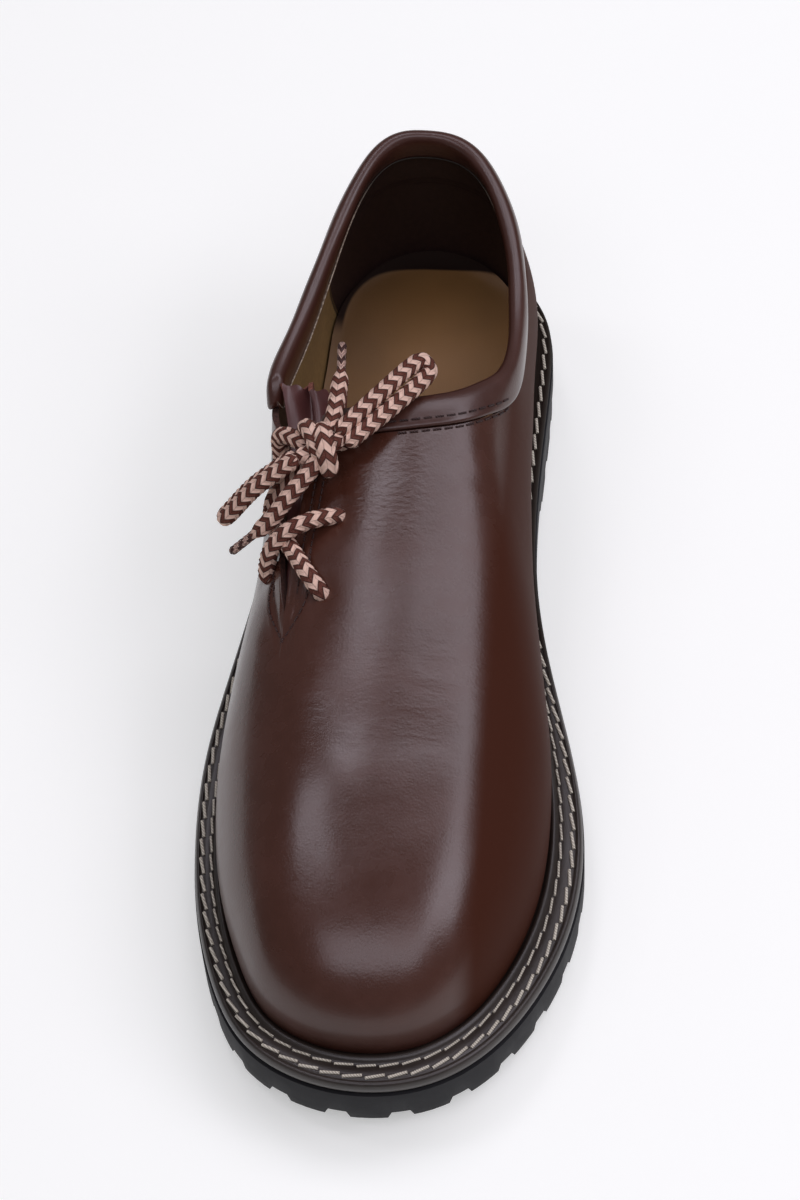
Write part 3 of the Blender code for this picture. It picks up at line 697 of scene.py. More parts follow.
class Paint(Tree):
    """A material while it is being mixed."""

    MATT = 0.6          # roughness where the gloss is taken off
    MATT_SHINE = 0.04

    def __init__(self, name: str) -> None:
        """Start with a bare principled shader.

        Args:
            name: Name of the material.
        """
        self.material = bpy.data.materials.new(name)
        self.material.use_nodes = True
        super().__init__(self.material.node_tree)
        self.tree.nodes.clear()
        self.shader = self.node("ShaderNodeBsdfPrincipled")
        self.output = self.node("ShaderNodeOutputMaterial", inputs={"Surface": self.shader.outputs[0]})

    def set(self, **sockets: object) -> None:
        """Set the shader's sockets.

        Args:
            sockets: Their values, named with underscores for spaces.
        """
        named = {socket.name.lower().replace(" ", "_"): socket for socket in self.shader.inputs}
        for name, value in sockets.items():
            self.feed(named[name], value)

    def place(self) -> tuple[Wire, Wire, Wire]:
        """Read the piece's own coordinates.

        Returns:
            x, y and z in millimetres.
        """
        apart = self.node("ShaderNodeSeparateXYZ", inputs={0: self.spot()})
        x, y, z = (Wire(self.tree, socket) * (1 / MM) for socket in apart.outputs)
        return x, y, z

    def spot(self) -> Socket:
        """The piece's own coordinates as a vector, in metres."""
        return self.node("ShaderNodeTexCoord").outputs["Object"]

    def run(self) -> tuple[Wire, Wire]:
        """Read the piece's UV map.

        Returns:
            Way along the piece and turn round it.
        """
        layer = self.node("ShaderNodeTexCoord").outputs["UV"]
        apart = self.node("ShaderNodeSeparateXYZ", inputs={0: layer})
        return Wire(self.tree, apart.outputs[0]), Wire(self.tree, apart.outputs[1])

    def noise(self, size: float, detail: float = 3.0, stretch: Spot = (1.0, 1.0, 1.0)) -> Wire:
        """Cloudy noise from 0 to 1.

        Args:
            size: Size of its blotches, in millimetres.
            detail: Layers of finer noise in it.
            stretch: How many times longer it is along each axis.

        Returns:
            The noise.
        """
        scale = tuple(1.0 / part for part in stretch)
        vector = self.node("ShaderNodeMapping", inputs={"Vector": self.spot(), "Scale": scale})
        node = self.node("ShaderNodeTexNoise", inputs={
            "Vector": vector.outputs[0], "Scale": 1 / (size * MM), "Detail": detail})
        return Wire(self.tree, node.outputs["Fac"])

    def cells(self, size: float) -> Wire:
        """Distance inside a pattern of cells of a size in millimetres."""
        inputs = {"Vector": self.spot(), "Scale": 1 / (size * MM)}
        return Wire(self.tree, self.node("ShaderNodeTexVoronoi", inputs=inputs).outputs["Distance"])

    def mix(self, share: "Wire | float", first: object, second: object) -> Socket:
        """Blend two colours by a share."""
        node = self.node("ShaderNodeMix", {"data_type": "RGBA"}, {0: share, 6: first, 7: second})
        return node.outputs[2]

    def dull(self, share: Wire, colour: Colour) -> None:
        """Take the gloss off a share of the surface.

        Args:
            share: 0 where the gloss stays and 1 where it goes.
            colour: Plain colour that is left.
        """
        matt = self.node("ShaderNodeBsdfPrincipled", inputs={
            "Base Color": colour, "Roughness": self.MATT, "Specular IOR Level": self.MATT_SHINE})
        both = self.node("ShaderNodeMixShader", inputs={
            0: share, 1: self.shader.outputs[0], 2: matt.outputs[0]})
        self.feed(self.output.inputs["Surface"], both.outputs[0])

    def bump(self, height: Wire, depth: float) -> None:
        """Raise the surface over what is there.

        Args:
            height: Height from 0 to 1.
            depth: Millimetres that a height of 1 stands for.
        """
        socket = self.shader.inputs["Normal"]
        inputs = {"Height": height, "Distance": depth * MM, "Strength": 1.0}
        if socket.is_linked:
            inputs["Normal"] = socket.links[0].from_socket
        self.feed(socket, self.node("ShaderNodeBump", inputs=inputs).outputs[0])


@dataclass(frozen=True)
class GrainLeather:
    """Polished leather with a fine grain and soft changes of colour."""

    name: str
    deep: Colour
    worn: Colour
    roughness: float
    grain: float = 0.035      # depth of the grain
    grain_size: float = 0.75
    coat: float = 0.25
    flexed: bool = False      # fine cross wrinkles where the foot bends, and painted shade along the inner side
    shaded: bool = False      # painted shade: matt and dark along the inner waist

    LOW = (34.0, 50.0)        # the wall gets duller below these heights
    INNER = (23.0, 30.0)      # painted shade: the inner side turns matt and dark between these
    PULLED_X = (-17.0, -9.0, 2.0, 10.0)
    PULLED_Y = (-6.0, 4.0, 26.0, 34.0)
    BEND_Y = (-84.0, -58.0, -44.0, -16.0)
    BEND_Z = (48.0, 60.0)
    WAIST_X = (20.0, 28.0)
    WAIST_Y = (-30.0, 10.0)

    def make(self) -> bpy.types.Material:
        """Mix the material.

        Returns:
            The material.
        """
        paint = Paint(self.name)
        clouds = paint.noise(34.0, 4.0)
        mottle = paint.noise(5.0, 3.0)
        share = clouds.ease(0.36, 0.68) * 0.7 + mottle.ease(0.35, 0.75) * 0.3
        grain = paint.cells(self.grain_size)
        pores = paint.noise(self.grain_size * 0.8, 2.0)
        paint.set(base_color=paint.mix(share, self.deep, self.worn))
        roughness = self.roughness + (clouds - 0.5) * 0.16 + (mottle - 0.5) * 0.10
        paint.bump(grain * 0.6 + pores * 0.4, self.grain)
        paint.bump(paint.noise(9.0, 2.0), 0.10)
        if self.flexed:
            x, y, z = paint.place()
            roughness = roughness + (1 - z.ease(*self.LOW)) * 0.22
            # painted shade: the inner side loses its reflections and keeps only the deep colour
            paint.dull(x.ease(*self.INNER) * 0.985, self.deep)
            pulled = x.between(*self.PULLED_X) * y.between(*self.PULLED_Y)
            paint.bump(paint.noise(1.3, 3.0, (1.8, 1.0, 1.0)) * pulled, 0.16)
            bend = y.between(*self.BEND_Y) * z.ease(*self.BEND_Z)
            wrinkles = paint.noise(2.2, 3.0, (3.2, 1.0, 1.0)).ease(0.42, 0.70)
            paint.bump(wrinkles * bend, 0.022)
        if self.shaded:
            x, y, _ = paint.place()
            # painted shade: the inner waist of the welt loses its reflections and keeps only the deep colour
            paint.dull(x.ease(*self.WAIST_X) * y.ease(*self.WAIST_Y) * 0.99, self.deep)
        paint.set(roughness=roughness)
        paint.set(coat_weight=self.coat, coat_roughness=0.18)
        return paint.material


@dataclass(frozen=True)
class LiningLeather:
    """Inside of the shoe: dark leather round the heel and again ahead of slit_y, under the slit, and tan
    leather between.
    """

    name: str = "lining"
    heel: Colour = (0.022, 0.010, 0.008)
    front: Colour = (0.270, 0.165, 0.060)
    thread: Colour = (0.012, 0.006, 0.004)
    seam_y: float = 116.0
    seam_z: float = 50.0     # height at which the seam crosses its place
    seam_lean: float = 0.12
    slit_y: float = 58.0

    def make(self) -> bpy.types.Material:
        """Mix the material.

        Returns:
            The material.
        """
        paint = Paint(self.name)
        _, y, z = paint.place()
        seam = y + (z - self.seam_z) * self.seam_lean
        heel = seam.ease(self.seam_y - 0.25, self.seam_y + 0.25)
        # dark behind the heel seam, and dark again ahead of slit_y where the lining lies under the slit
        behind = heel.most(1 - y.ease(self.slit_y, self.slit_y + 3.0))
        nap = paint.noise(1.6, 4.0)
        tan = paint.mix(nap.ease(0.3, 0.7), self.front, tuple(part * 0.82 for part in self.front))
        dark = paint.mix(nap.ease(0.3, 0.7), self.heel, tuple(part * 1.35 for part in self.heel))
        line = 1 - abs(seam - (self.seam_y - 0.7)).ease(0.2, 0.9)
        paint.set(base_color=paint.mix(line * 0.8, paint.mix(behind, tan, dark), self.thread))
        paint.set(roughness=0.62 - behind * 0.10)
        paint.bump(nap, 0.05)
        paint.bump(heel - line * 0.6, 0.35)
        return paint.material


@dataclass(frozen=True)
class SockLeather:
    """Smooth olive-tan leather under the foot."""

    name: str = "sock"
    middle: Colour = (0.300, 0.150, 0.046)
    edge: Colour = (0.225, 0.115, 0.036)
    # cup is the lining's dark colour at the heel end, and also the colour of the painted shade on the outer
    # back
    cup: Colour = (0.022, 0.013, 0.010)
    heel_middle: float = 0.5   # the lining comes down outside a rounded heel end
    heel_half: float = 29.0
    heel_start: float = 105.0
    heel_length: float = 31.2

    HEEL_FADE = (108.0, 116.0)
    SHADE_X = (-26.0, 2.0)     # the outer side lies in the collar's shade
    SHADE_Y = (60.0, 110.0)

    def make(self) -> bpy.types.Material:
        """Mix the material.

        Returns:
            The material.
        """
        paint = Paint(self.name)
        clouds = paint.noise(40.0, 3.0)
        streaks = paint.noise(6.0, 3.0, (1.0, 4.0, 1.0))
        x, y, _ = paint.place()
        worn = paint.mix(clouds.ease(0.35, 0.65) * 0.7 + streaks * 0.3, self.middle, self.edge)
        # painted shade: the outer back is mixed towards the cup colour
        sole = paint.mix((1 - x.ease(*self.SHADE_X)) * y.ease(*self.SHADE_Y) * 0.45, worn, self.cup)
        aside = abs(x - self.heel_middle) / self.heel_half
        back = ((y - self.heel_start) / self.heel_length).most(0.0)
        lined = (aside * aside * aside + back * back * back).ease(0.95, 1.05) * y.ease(*self.HEEL_FADE)
        paint.set(base_color=sole, roughness=0.40 + clouds * 0.15)
        paint.dull(lined, self.cup)
        paint.bump(paint.cells(0.5), 0.02)
        paint.bump(paint.noise(14.0, 2.0), 0.15)
        return paint.material


@dataclass(frozen=True)
class RawEdge:
    """Cut edge of leather, with its fibres."""

    name: str
    colour: Colour
    fleck: Colour
    dark_from: float = 500.0  # behind this the edge turns dark

    DARKEN_LENGTH = 18.0
    DARK_SHARE = 0.12              # share of its colour that the edge keeps where it turns dark

    def make(self) -> bpy.types.Material:
        """Mix the material.

        Returns:
            The material.
        """
        paint = Paint(self.name)
        fibres = paint.noise(0.7, 4.0)
        _, y, _ = paint.place()
        cut = paint.mix(fibres.ease(0.35, 0.65), self.colour, self.fleck)
        darker = tuple(part * self.DARK_SHARE for part in self.colour)
        darkening = y.ease(self.dark_from, self.dark_from + self.DARKEN_LENGTH)
        paint.set(base_color=paint.mix(darkening, cut, darker))
        paint.set(roughness=0.70 + fibres * 0.15)
        paint.bump(fibres, 0.15)
        return paint.material


@dataclass(frozen=True)
class Rubber:
    """Moulded black rubber with a matt skin and dust in its corners."""

    name: str = "rubber"
    colour: Colour = (0.010, 0.010, 0.012)
    dust: Colour = (0.024, 0.023, 0.023)

    def make(self) -> bpy.types.Material:
        """Mix the material.

        Returns:
            The material.
        """
        paint = Paint(self.name)
        scuff = paint.noise(8.0, 5.0)
        _, _, z = paint.place()
        low = 1 - z.ease(0.0, 9.0)
        paint.set(base_color=paint.mix(scuff.ease(0.5, 0.8) * (0.35 + low * 0.4), self.colour, self.dust))
        paint.set(roughness=0.55 + scuff * 0.22, specular_ior_level=0.30)
        paint.bump(paint.noise(0.5, 2.0), 0.03)
        paint.bump(scuff, 0.08)
        return paint.material


@dataclass(frozen=True)
class Thread:
    """Twisted thread of a seam."""

    name: str
    colour: Colour
    shade: Colour

    def make(self) -> bpy.types.Material:
        """Mix the material.

        Returns:
            The material.
        """
        paint = Paint(self.name)
        x, y, z = paint.place()
        twist = ((x + y + z) * 7.0).sine() * 0.5 + 0.5
        soil = paint.noise(7.0, 3.0)
        # the colour darkens along the grooves of the twist as painted shade, and in patches of soil
        paint.set(base_color=paint.mix((twist * 0.45 + soil * 0.55).ease(0.25, 0.8), self.colour, self.shade))
        paint.set(roughness=0.72)
        paint.bump(twist, 0.10)
        return paint.material


@dataclass(frozen=True)
class Braid:
    """Round braid in two colours that meet in chevrons, on a UV map of millimetres along and turns round."""

    name: str = "braid"
    beige: Colour = (0.820, 0.570, 0.460)
    brown: Colour = (0.120, 0.034, 0.023)
    pitch: float = 4.0
    points: float = 4.0   # chevrons round the lace
    slope: float = 0.48   # how far a chevron's legs run back, in pitches
    film: float = 0.0     # clear film over the lace, as on its tips

    def make(self) -> bpy.types.Material:
        """Mix the material.

        Returns:
            The material.
        """
        paint = Paint(self.name)
        along, turn = paint.run()
        leg = abs((turn * self.points).fraction() - 0.5) * 2
        step = (along / self.pitch + leg * self.slope).fraction()
        band = abs(step - 0.5) * 2
        light = band.ease(0.41, 0.47)
        crack = 1 - abs(band - 0.44).ease(0.01, 0.15)
        spine = 1 - leg.ease(0.0, 0.12) * (1 - leg.ease(0.88, 1.0))
        fibre = paint.noise(0.35, 3.0)
        yarn = paint.mix(light, self.brown, self.beige)
        # painted shade: the cracks between chevrons and the spines between legs are darkened, as the bump
        # sinks them
        groove_shade = (crack * 0.85).most(spine * 0.30)
        dark = tuple(part * 0.22 for part in self.brown)
        worn = paint.mix(fibre.ease(0.3, 0.8) * 0.14, yarn, tuple(part * 0.6 for part in self.beige))
        paint.set(base_color=paint.mix(groove_shade, worn, dark))
        paint.set(roughness=0.82 - self.film * 0.5 + fibre * 0.1)
        paint.bump(1 - groove_shade, 0.30)
        paint.bump(fibre, 0.08)
        paint.set(coat_weight=self.film, specular_ior_level=0.15)
        return paint.material


@dataclass(frozen=True)
class FloorPaper:
    """Pale studio paper."""

    name: str = "paper"
    near: Colour = (0.745, 0.765, 0.730)
    far: Colour = (0.30, 0.31, 0.30)
    glow: float = 0.38
    pool: Pair = (520.0, 1000.0)  # the light's pool fades between these distances

    def make(self) -> bpy.types.Material:
        """Mix the material.

        Returns:
            The material.
        """
        paint = Paint(self.name)
        x, y, _ = paint.place()
        fade = (x * x + y * y).root().ease(*self.pool)
        paint.set(base_color=paint.mix(fade, self.near, self.far), roughness=0.9, specular_ior_level=0.1)
        paint.set(emission_color=paint.mix(fade, (1.0, 1.0, 1.0), self.far), emission_strength=self.glow)
        return paint.material


class Palette(Enum):
    """The finishes of the shoe, each by its maker's plain name."""

    UPPER = GrainLeather("grain_upper", (0.056, 0.0170, 0.0095), (0.072, 0.0235, 0.0145), 0.27, flexed=True)
    COLLAR = GrainLeather("grain_collar", (0.054, 0.0180, 0.0120), (0.070, 0.0250, 0.0175), 0.34)
    TONGUE = GrainLeather("grain_tongue", (0.085, 0.028, 0.026), (0.120, 0.044, 0.040), 0.34)
    WELT = GrainLeather("grain_welt", (0.020, 0.014, 0.011), (0.034, 0.025, 0.020), 0.40, 0.03, 0.9, 0.15,
                        shaded=True)
    LINING = LiningLeather()
    SOCK = SockLeather()
    CUT_EDGE = RawEdge("cut_edge", (0.040, 0.016, 0.012), (0.085, 0.034, 0.024))
    RED_EDGE = RawEdge("red_edge", (0.165, 0.050, 0.036), (0.260, 0.095, 0.065))
    TAN_EDGE = RawEdge("tan_edge", (0.190, 0.140, 0.100), (0.520, 0.430, 0.330), 114.0)
    RUBBER = Rubber()
    CREAM = Thread("cream_thread", (0.720, 0.680, 0.570), (0.400, 0.360, 0.290))
    DARK = Thread("dark_thread", (0.022, 0.009, 0.008), (0.045, 0.018, 0.015))
    BRAID = Braid()
    TIP = Braid("braid_tip", (0.400, 0.260, 0.215), (0.050, 0.020, 0.018), 4.0, 2.0, 0.75, 0.4)
    PAPER = FloorPaper()

    def material(self) -> bpy.types.Material:
        """The finish's material, mixed when it is first asked for."""
        return bpy.data.materials.get(self.value.name) or self.value.make()


def dress(piece: Piece, *finishes: Palette) -> None:
    """Give a piece its finishes, one to each material slot."""
    for finish in finishes:
        piece.data.materials.append(finish.material())


@dataclass
class Seam:
    """A row of stitches along a path, laid by a node tree."""

    name: str
    finish: Palette
    pitch: float
    length: float
    thickness: float
    slant: float = 0.0  # degrees that each stitch turns off the seam's line

    SEGMENTS = 8
    RINGS = 9
    TAPER = 0.85

    def lay(self, paths: Sequence[Array]) -> None:
        """Lay the stitches as one plain mesh.

        Args:
            paths: Lines in millimetres that the stitches' middles follow.
        """
        points = np.vstack(paths) * MM
        edges = []
        start = 0
        for path in paths:
            edges.extend((place, place + 1) for place in range(start, start + len(path) - 1))
            start += len(path)
        mesh = bpy.data.meshes.new(self.name)
        mesh.from_pydata(points.tolist(), edges, [])
        row = bpy.data.objects.new(self.name, mesh)
        bpy.context.scene.collection.objects.link(row)
        tree = self._tree()
        modifier = row.modifiers.new("Stitches", "NODES")
        modifier.node_group = tree
        sizes = {"Pitch": self.pitch * MM, "Length": self.length * MM, "Thickness": self.thickness * MM,
                 "Slant": math.radians(self.slant), "Thread": self.finish.material()}
        for item in tree.interface.items_tree:
            if item.item_type == "SOCKET" and item.name in sizes:
                modifier[item.identifier] = sizes[item.name]
        bake(row)
        row.data.shade_smooth()
        settle(row, None)

    def _tree(self) -> bpy.types.NodeTree:
        """Build the node tree that lays a stitch at every pitch.

        Returns:
            The tree.
        """
        tree = bpy.data.node_groups.new(self.name, "GeometryNodeTree")
        for name, kind in (("Geometry", "Geometry"), ("Pitch", "Float"), ("Length", "Float"),
                           ("Thickness", "Float"), ("Slant", "Float"), ("Thread", "Material")):
            tree.interface.new_socket(name, in_out="INPUT", socket_type="NodeSocket" + kind)
        tree.interface.new_socket("Geometry", in_out="OUTPUT", socket_type="NodeSocketGeometry")
        add = Tree(tree).node
        given = add("NodeGroupInput").outputs
        curve = add("GeometryNodeMeshToCurve", inputs={"Mesh": given["Geometry"]})
        spots = add("GeometryNodeCurveToPoints", {"mode": "LENGTH"},
                    {"Curve": curve.outputs[0], "Length": given["Pitch"]})
        facing = add("FunctionNodeAlignRotationToVector", {"axis": "Z"}, {"Vector": spots.outputs["Tangent"]})
        turn = add("FunctionNodeAxisAngleToRotation", inputs={
            "Axis": (0.0, 0.0, 1.0), "Angle": given["Slant"]})
        turned = add("FunctionNodeRotateRotation", {"rotation_space": "GLOBAL"},
                     {"Rotation": facing.outputs[0], "Rotate By": turn.outputs[0]})
        line = add("GeometryNodeCurvePrimitiveLine", inputs={
            "Start": (0.0, 0.0, -0.5), "End": (0.0, 0.0, 0.5)})
        steps = add("GeometryNodeResampleCurve", inputs={"Curve": line.outputs[0], "Count": self.RINGS})
        middle = Wire(tree, add("GeometryNodeSplineParameter").outputs["Factor"]) * 2.0 - 1.0
        even = middle * middle
        girth = 1.0 - even * even * self.TAPER
        tapered = add("GeometryNodeSetCurveRadius", inputs={"Curve": steps.outputs[0], "Radius": girth})
        ring = add("GeometryNodeCurvePrimitiveCircle", inputs={"Resolution": self.SEGMENTS, "Radius": 0.5})
        ball = add("GeometryNodeCurveToMesh", inputs={
            "Curve": tapered.outputs[0], "Profile Curve": ring.outputs[0], "Fill Caps": True})
        size = add("ShaderNodeCombineXYZ", inputs={
            "X": given["Thickness"], "Y": given["Thickness"], "Z": given["Length"]})
        stitch = add("GeometryNodeTransform", inputs={"Geometry": ball.outputs[0], "Scale": size.outputs[0]})
        row = add("GeometryNodeInstanceOnPoints", inputs={
            "Points": spots.outputs["Points"], "Instance": stitch.outputs[0], "Rotation": turned.outputs[0]})
        real = add("GeometryNodeRealizeInstances", inputs={"Geometry": row.outputs[0]})
        done = add("GeometryNodeSetMaterial", inputs={
            "Geometry": real.outputs[0], "Material": given["Thread"]})
        add("NodeGroupOutput", inputs={0: done.outputs[0]})
        return tree


@dataclass
class Upper:
    """The leather upper with its slit, lace holes, creases and seams."""

    last: Last
    columns: int = 372
    rows: int = 86
    hole: float = 5.4
    hole_depth: float = 12.0
    hole_sides: int = 24
    pucker: float = 0.9
    pucker_width: float = 4.6
    ripple: float = 0.10
    seam_lift: float = 0.12
    crowd: float = 0.8      # how much closer the columns stand beside the slit
    lip: float = 0.40       # roll of the slit's edges
    lip_width: float = 1.2
    groove: float = 0.22    # depth of the seams beside the slit
    groove_width: float = 0.8
    facing_rows: Pair = (2.8, 5.4)
    vamp_rows: Pair = (-14.0, 37.0)    # where the seams beside the slit start and end
    lateral_row: Pair = (-12.0, 31.0)
    lip_start: float = 3.0  # above the slit's foot
    lip_ends: Pair = (44.0, 40.0)
    mark_reach: float = 12.0
    tip: Pair = (-31.2, -28.5)  # where the stitched leaf ends, below the slit
    leaf: tuple[Pair, ...] = ((-36.4, -8.0), (-24.6, -14.0))
    leaf_bow: float = 1.6
    throat: Pair = (1.00, 0.475)  # stations of the row under the collar
    throat_down: float = 1.0
    crease_fade: Pair = (40.0, 54.0)  # creases fade out down the wall between these heights
    ridge: float = 0.35     # share of a crease's depth that stands up beside it
    ridge_out: float = 1.6
    slit_span: Pair = (1.02, 1.72)  # stations between which the slit lies
    slit_probes: int = 1401
    sharp: float = 50.0

    def build(self) -> None:
        """Build the wall and cut its holes."""
        shares = np.linspace(0.0, 1.0, self.rows)
        vamp, lateral, open_rows = self.slit_stations(shares)
        turn = np.linspace(0.0, 1.0, self.columns)
        turn = (turn - self.crowd / (2 * math.pi) * np.sin(2 * math.pi * turn))[:, None]
        stations = (vamp + turn * (lateral - 2.0 - vamp)).ravel()
        top = self.last.below_top(stations, self.last.band_height + self.last.gap)
        heights = np.tile(shares, self.columns) * top
        points = self.last.skin(stations, heights)
        points = points + self.last.normals(stations, heights) * self.relief(points)[:, None]
        faces = [face[::-1] for face in grid_faces(self.columns, self.rows, False)]
        upper = add_piece("upper_leather", points, faces)
        self.close_seam(upper, open_rows)
        dress(upper, Palette.UPPER, Palette.LINING, Palette.CUT_EDGE)
        wall = upper.modifiers.new("Wall", "SOLIDIFY")
        wall.thickness = self.last.wall * MM
        wall.offset = -1.0
        wall.material_offset = 1
        wall.material_offset_rim = 2
        bake(upper)
        self.punch(upper)
        crisp(upper, self.sharp)
        settle(upper, "upper_leather", "upper")

    def slit_stations(self, shares: Array) -> tuple[Array, Array, Array]:
        """Find where the slit's two edges cross each row of the wall.

        Args:
            shares: Height of each row as a share of the wall's height.

        Returns:
            Stations of the vamp edge and of the lateral edge, and whether the slit is open, for each row.
        """
        probe = np.linspace(*self.slit_span, self.slit_probes)
        top = self.last.below_top(probe, self.last.band_height + self.last.gap)
        rows_y = [row.y for row in SLIT]
        edges = ([row.vamp_x for row in SLIT], [row.lateral_x for row in SLIT])
        found = []
        for share in shares:
            spots = self.last.skin(probe, share * top)
            ends = []
            for edge in edges:
                past = spots[:, 0] - np.interp(spots[:, 1], rows_y, edge)
                place = int(np.argmax(past < 0))
                part = past[place - 1] / (past[place - 1] - past[place])
                ends.append(probe[place - 1] + part * (probe[place] - probe[place - 1]))
            found.append(ends)
        vamp, lateral = np.array(found).T
        return vamp, lateral, lateral - vamp > 1e-4

    def close_seam(self, upper: Piece, open_rows: Array) -> None:
        """Join the sheet's two ends below the slit.

        Args:
            upper: The sheet.
            open_rows: Whether the slit is open, for each row.
        """
        last_column = (self.columns - 1) * self.rows
        with opened(upper) as shape:
            shape.verts.ensure_lookup_table()
            joins = {shape.verts[last_column + row]: shape.verts[row]
                     for row in range(self.rows) if not open_rows[row]}
            bmesh.ops.weld_verts(shape, targetmap=joins)
        upper.data.shade_smooth()

    @cached_property
    def marks(self) -> list[tuple[list[Array], float, float]]:
        """Gather the lines where the leather is pulled in or rolled out.

        Returns:
            Lines on the skin, with their height and width.
        """
        holes = [self.last.on_skin(*spot)[0][None, :] for pair in HOLES for spot in (pair[:2], pair[2:])]
        start = SLIT[0].y + self.lip_start
        lips = [self.edge_line(vamp, 0.0, start, end) for vamp, end in zip((True, False), self.lip_ends)]
        return [(holes, -self.pucker, self.pucker_width), (lips, self.lip, self.lip_width),
                (self.facing_lines, -self.groove, self.groove_width)]

    @cached_property
    def facing_lines(self) -> list[Array]:
        """Where the seams beside the slit run on the skin."""
        rows = [self.edge_line(True, inward, *self.vamp_rows) for inward in self.facing_rows]
        return rows + [self.edge_line(False, self.facing_rows[0], *self.lateral_row)]

    def relief(self, points: Array) -> Array:
        """Work out the leather's creases, puckers and slow waves.

        Args:
            points: Points on the skin.

        Returns:
            Height over the skin at each point.
        """
        raised = np.zeros(len(points))
        low, high = self.crease_fade
        shown = smooth_step((points[:, 2] - low) / (high - low))
        share = np.linspace(0.0, 1.0, 40)[:, None]
        for crease in CREASES:
            start = np.array(crease[:2])
            end = np.array(crease[2:4])
            line = start + (end - start) * share
            line[:, 1] += crease.bow * 4 * (share * (1 - share))[:, 0]
            gaps = np.linalg.norm(points[:, None, :2] - line[None, :, :], axis=2)
            fade = np.sin(math.pi * share[gaps.argmin(axis=1), 0]) ** 0.6
            apart = gaps.min(axis=1) / crease.width
            ridge = self.ridge * np.exp(-((apart - self.ridge_out) ** 2) * 2.0)
            raised += crease.depth * fade * (ridge - np.exp(-apart ** 2)) * shown
        x, y, z = points.T
        beside = np.flatnonzero((y > SLIT[0].y - self.mark_reach) & (y < SLIT[-1].y) & (x < 0.0))
        for lines, depth, width in self.marks:
            for line in lines:
                gaps = np.linalg.norm(points[beside, None, :] - line[None, :, :], axis=2).min(axis=1)
                raised[beside] += depth * np.exp(-(gaps / width) ** 2)
        waves = np.sin(x / 9.0 + 0.6) * np.sin(y / 13.0 + z / 17.0) + 0.6 * np.sin(y / 6.1 - x / 11.0)
        return raised + self.ripple * waves

    def punch(self, upper: Piece) -> None:
        """Cut the lace holes.

        Args:
            upper: The wall.
        """
        points = []
        faces = []
        for pair in HOLES:
            for x, y in (pair[:2], pair[2:]):
                spot, normal = self.last.on_skin(x, y)
                across = np.array(Vector(normal).orthogonal().normalized())
                along = np.cross(normal, across)
                start = len(points)
                for end in (0.5, -0.5):
                    for side in range(self.hole_sides):
                        angle = 2 * math.pi * side / self.hole_sides
                        ring = across * math.cos(angle) + along * math.sin(angle)
                        points.append(spot + normal * end * self.hole_depth + ring * self.hole / 2)
                faces.extend([tuple(corner + start for corner in face)
                              for face in sweep_faces(2, self.hole_sides, False)])
        pins = add_piece("pins", np.array(points), faces)
        dress(pins, Palette.CUT_EDGE)
        holes = upper.modifiers.new("Holes", "BOOLEAN")
        holes.operation = "DIFFERENCE"
        holes.object = pins
        holes.material_mode = "TRANSFER"
        bake(upper)
        bpy.data.objects.remove(pins, do_unlink=True)

    def edge_line(self, vamp: bool, inward: float, from_y: float, to_y: float) -> Array:
        """Line on the skin beside one edge of the slit.

        Args:
            vamp: Whether it is the vamp's edge.
            inward: Distance from the edge.
            from_y: Where the line starts.
            to_y: Where it ends.

        Returns:
            Its points.
        """
        ys = np.linspace(from_y, to_y, 120)
        xs = np.interp(ys, [row.y for row in SLIT], [row.vamp_x if vamp else row.lateral_x for row in SLIT])
        return np.array([self.last.on_skin(x + (inward if vamp else -inward), y)[0] for x, y in zip(xs, ys)])

    def lifted(self, line: Array) -> Array:
        """Where the middles of stitches lie over a line on the skin."""
        normals = np.array([self.last.on_skin(x, y)[1] for x, y in line[:, :2]])
        return line + normals * (self.seam_lift + self.relief(line))[:, None]

    def sew(self) -> None:
        """Sew the seams beside the slit, the leaf below it and the row under the collar."""
        thread = Seam("facing_seam", Palette.DARK, 2.3, 1.8, 0.45)
        lines = list(self.facing_lines)
        for start_x, start_y in self.leaf:
            share = np.linspace(0.0, 1.0, 16)
            bow = self.leaf_bow * np.sin(math.pi * share) * math.copysign(1.0, start_x - self.tip[0])
            xs = start_x + (self.tip[0] - start_x) * share + bow
            ys = start_y + (self.tip[1] - start_y) * share
            lines.append(np.array([self.last.on_skin(x, y)[0] for x, y in zip(xs, ys)]))
        thread.lay([self.lifted(line) for line in lines])
        stations = np.linspace(*self.throat, 180)
        heights = self.last.below_top(stations, self.last.band_height + self.throat_down)
        spots = self.last.skin(stations, heights)
        spots += self.last.normals(stations, heights) * (self.seam_lift + self.relief(spots))[:, None]
        Seam("throat_seam", Palette.DARK, 3.3, 2.4, 0.6).lay([spots])


class BandPoint(NamedTuple):
    """A point of the collar roll's section."""

    out: float  # away from the middle of the upper's wall
    up: float   # along the wall, from the roll's middle


BAND_SECTION = tuple(BandPoint(*row) for row in (
    (1.30, -5.20),
    (2.10, -5.15),
    (2.45, -4.40),
    (2.60, -2.60),
    (2.65, -0.40),
    (2.45, 2.00),
    (1.80, 3.90),
    (0.70, 4.95),
    (-0.60, 5.15),
    (-1.75, 4.50),
    (-2.50, 3.00),
    (-2.70, 0.80),
    (-2.60, -1.80),
    (-2.35, -4.30),
    (-2.15, -5.05),
    (-1.50, -5.10),
    (-1.10, -4.50),
    (0.20, -4.50),
))


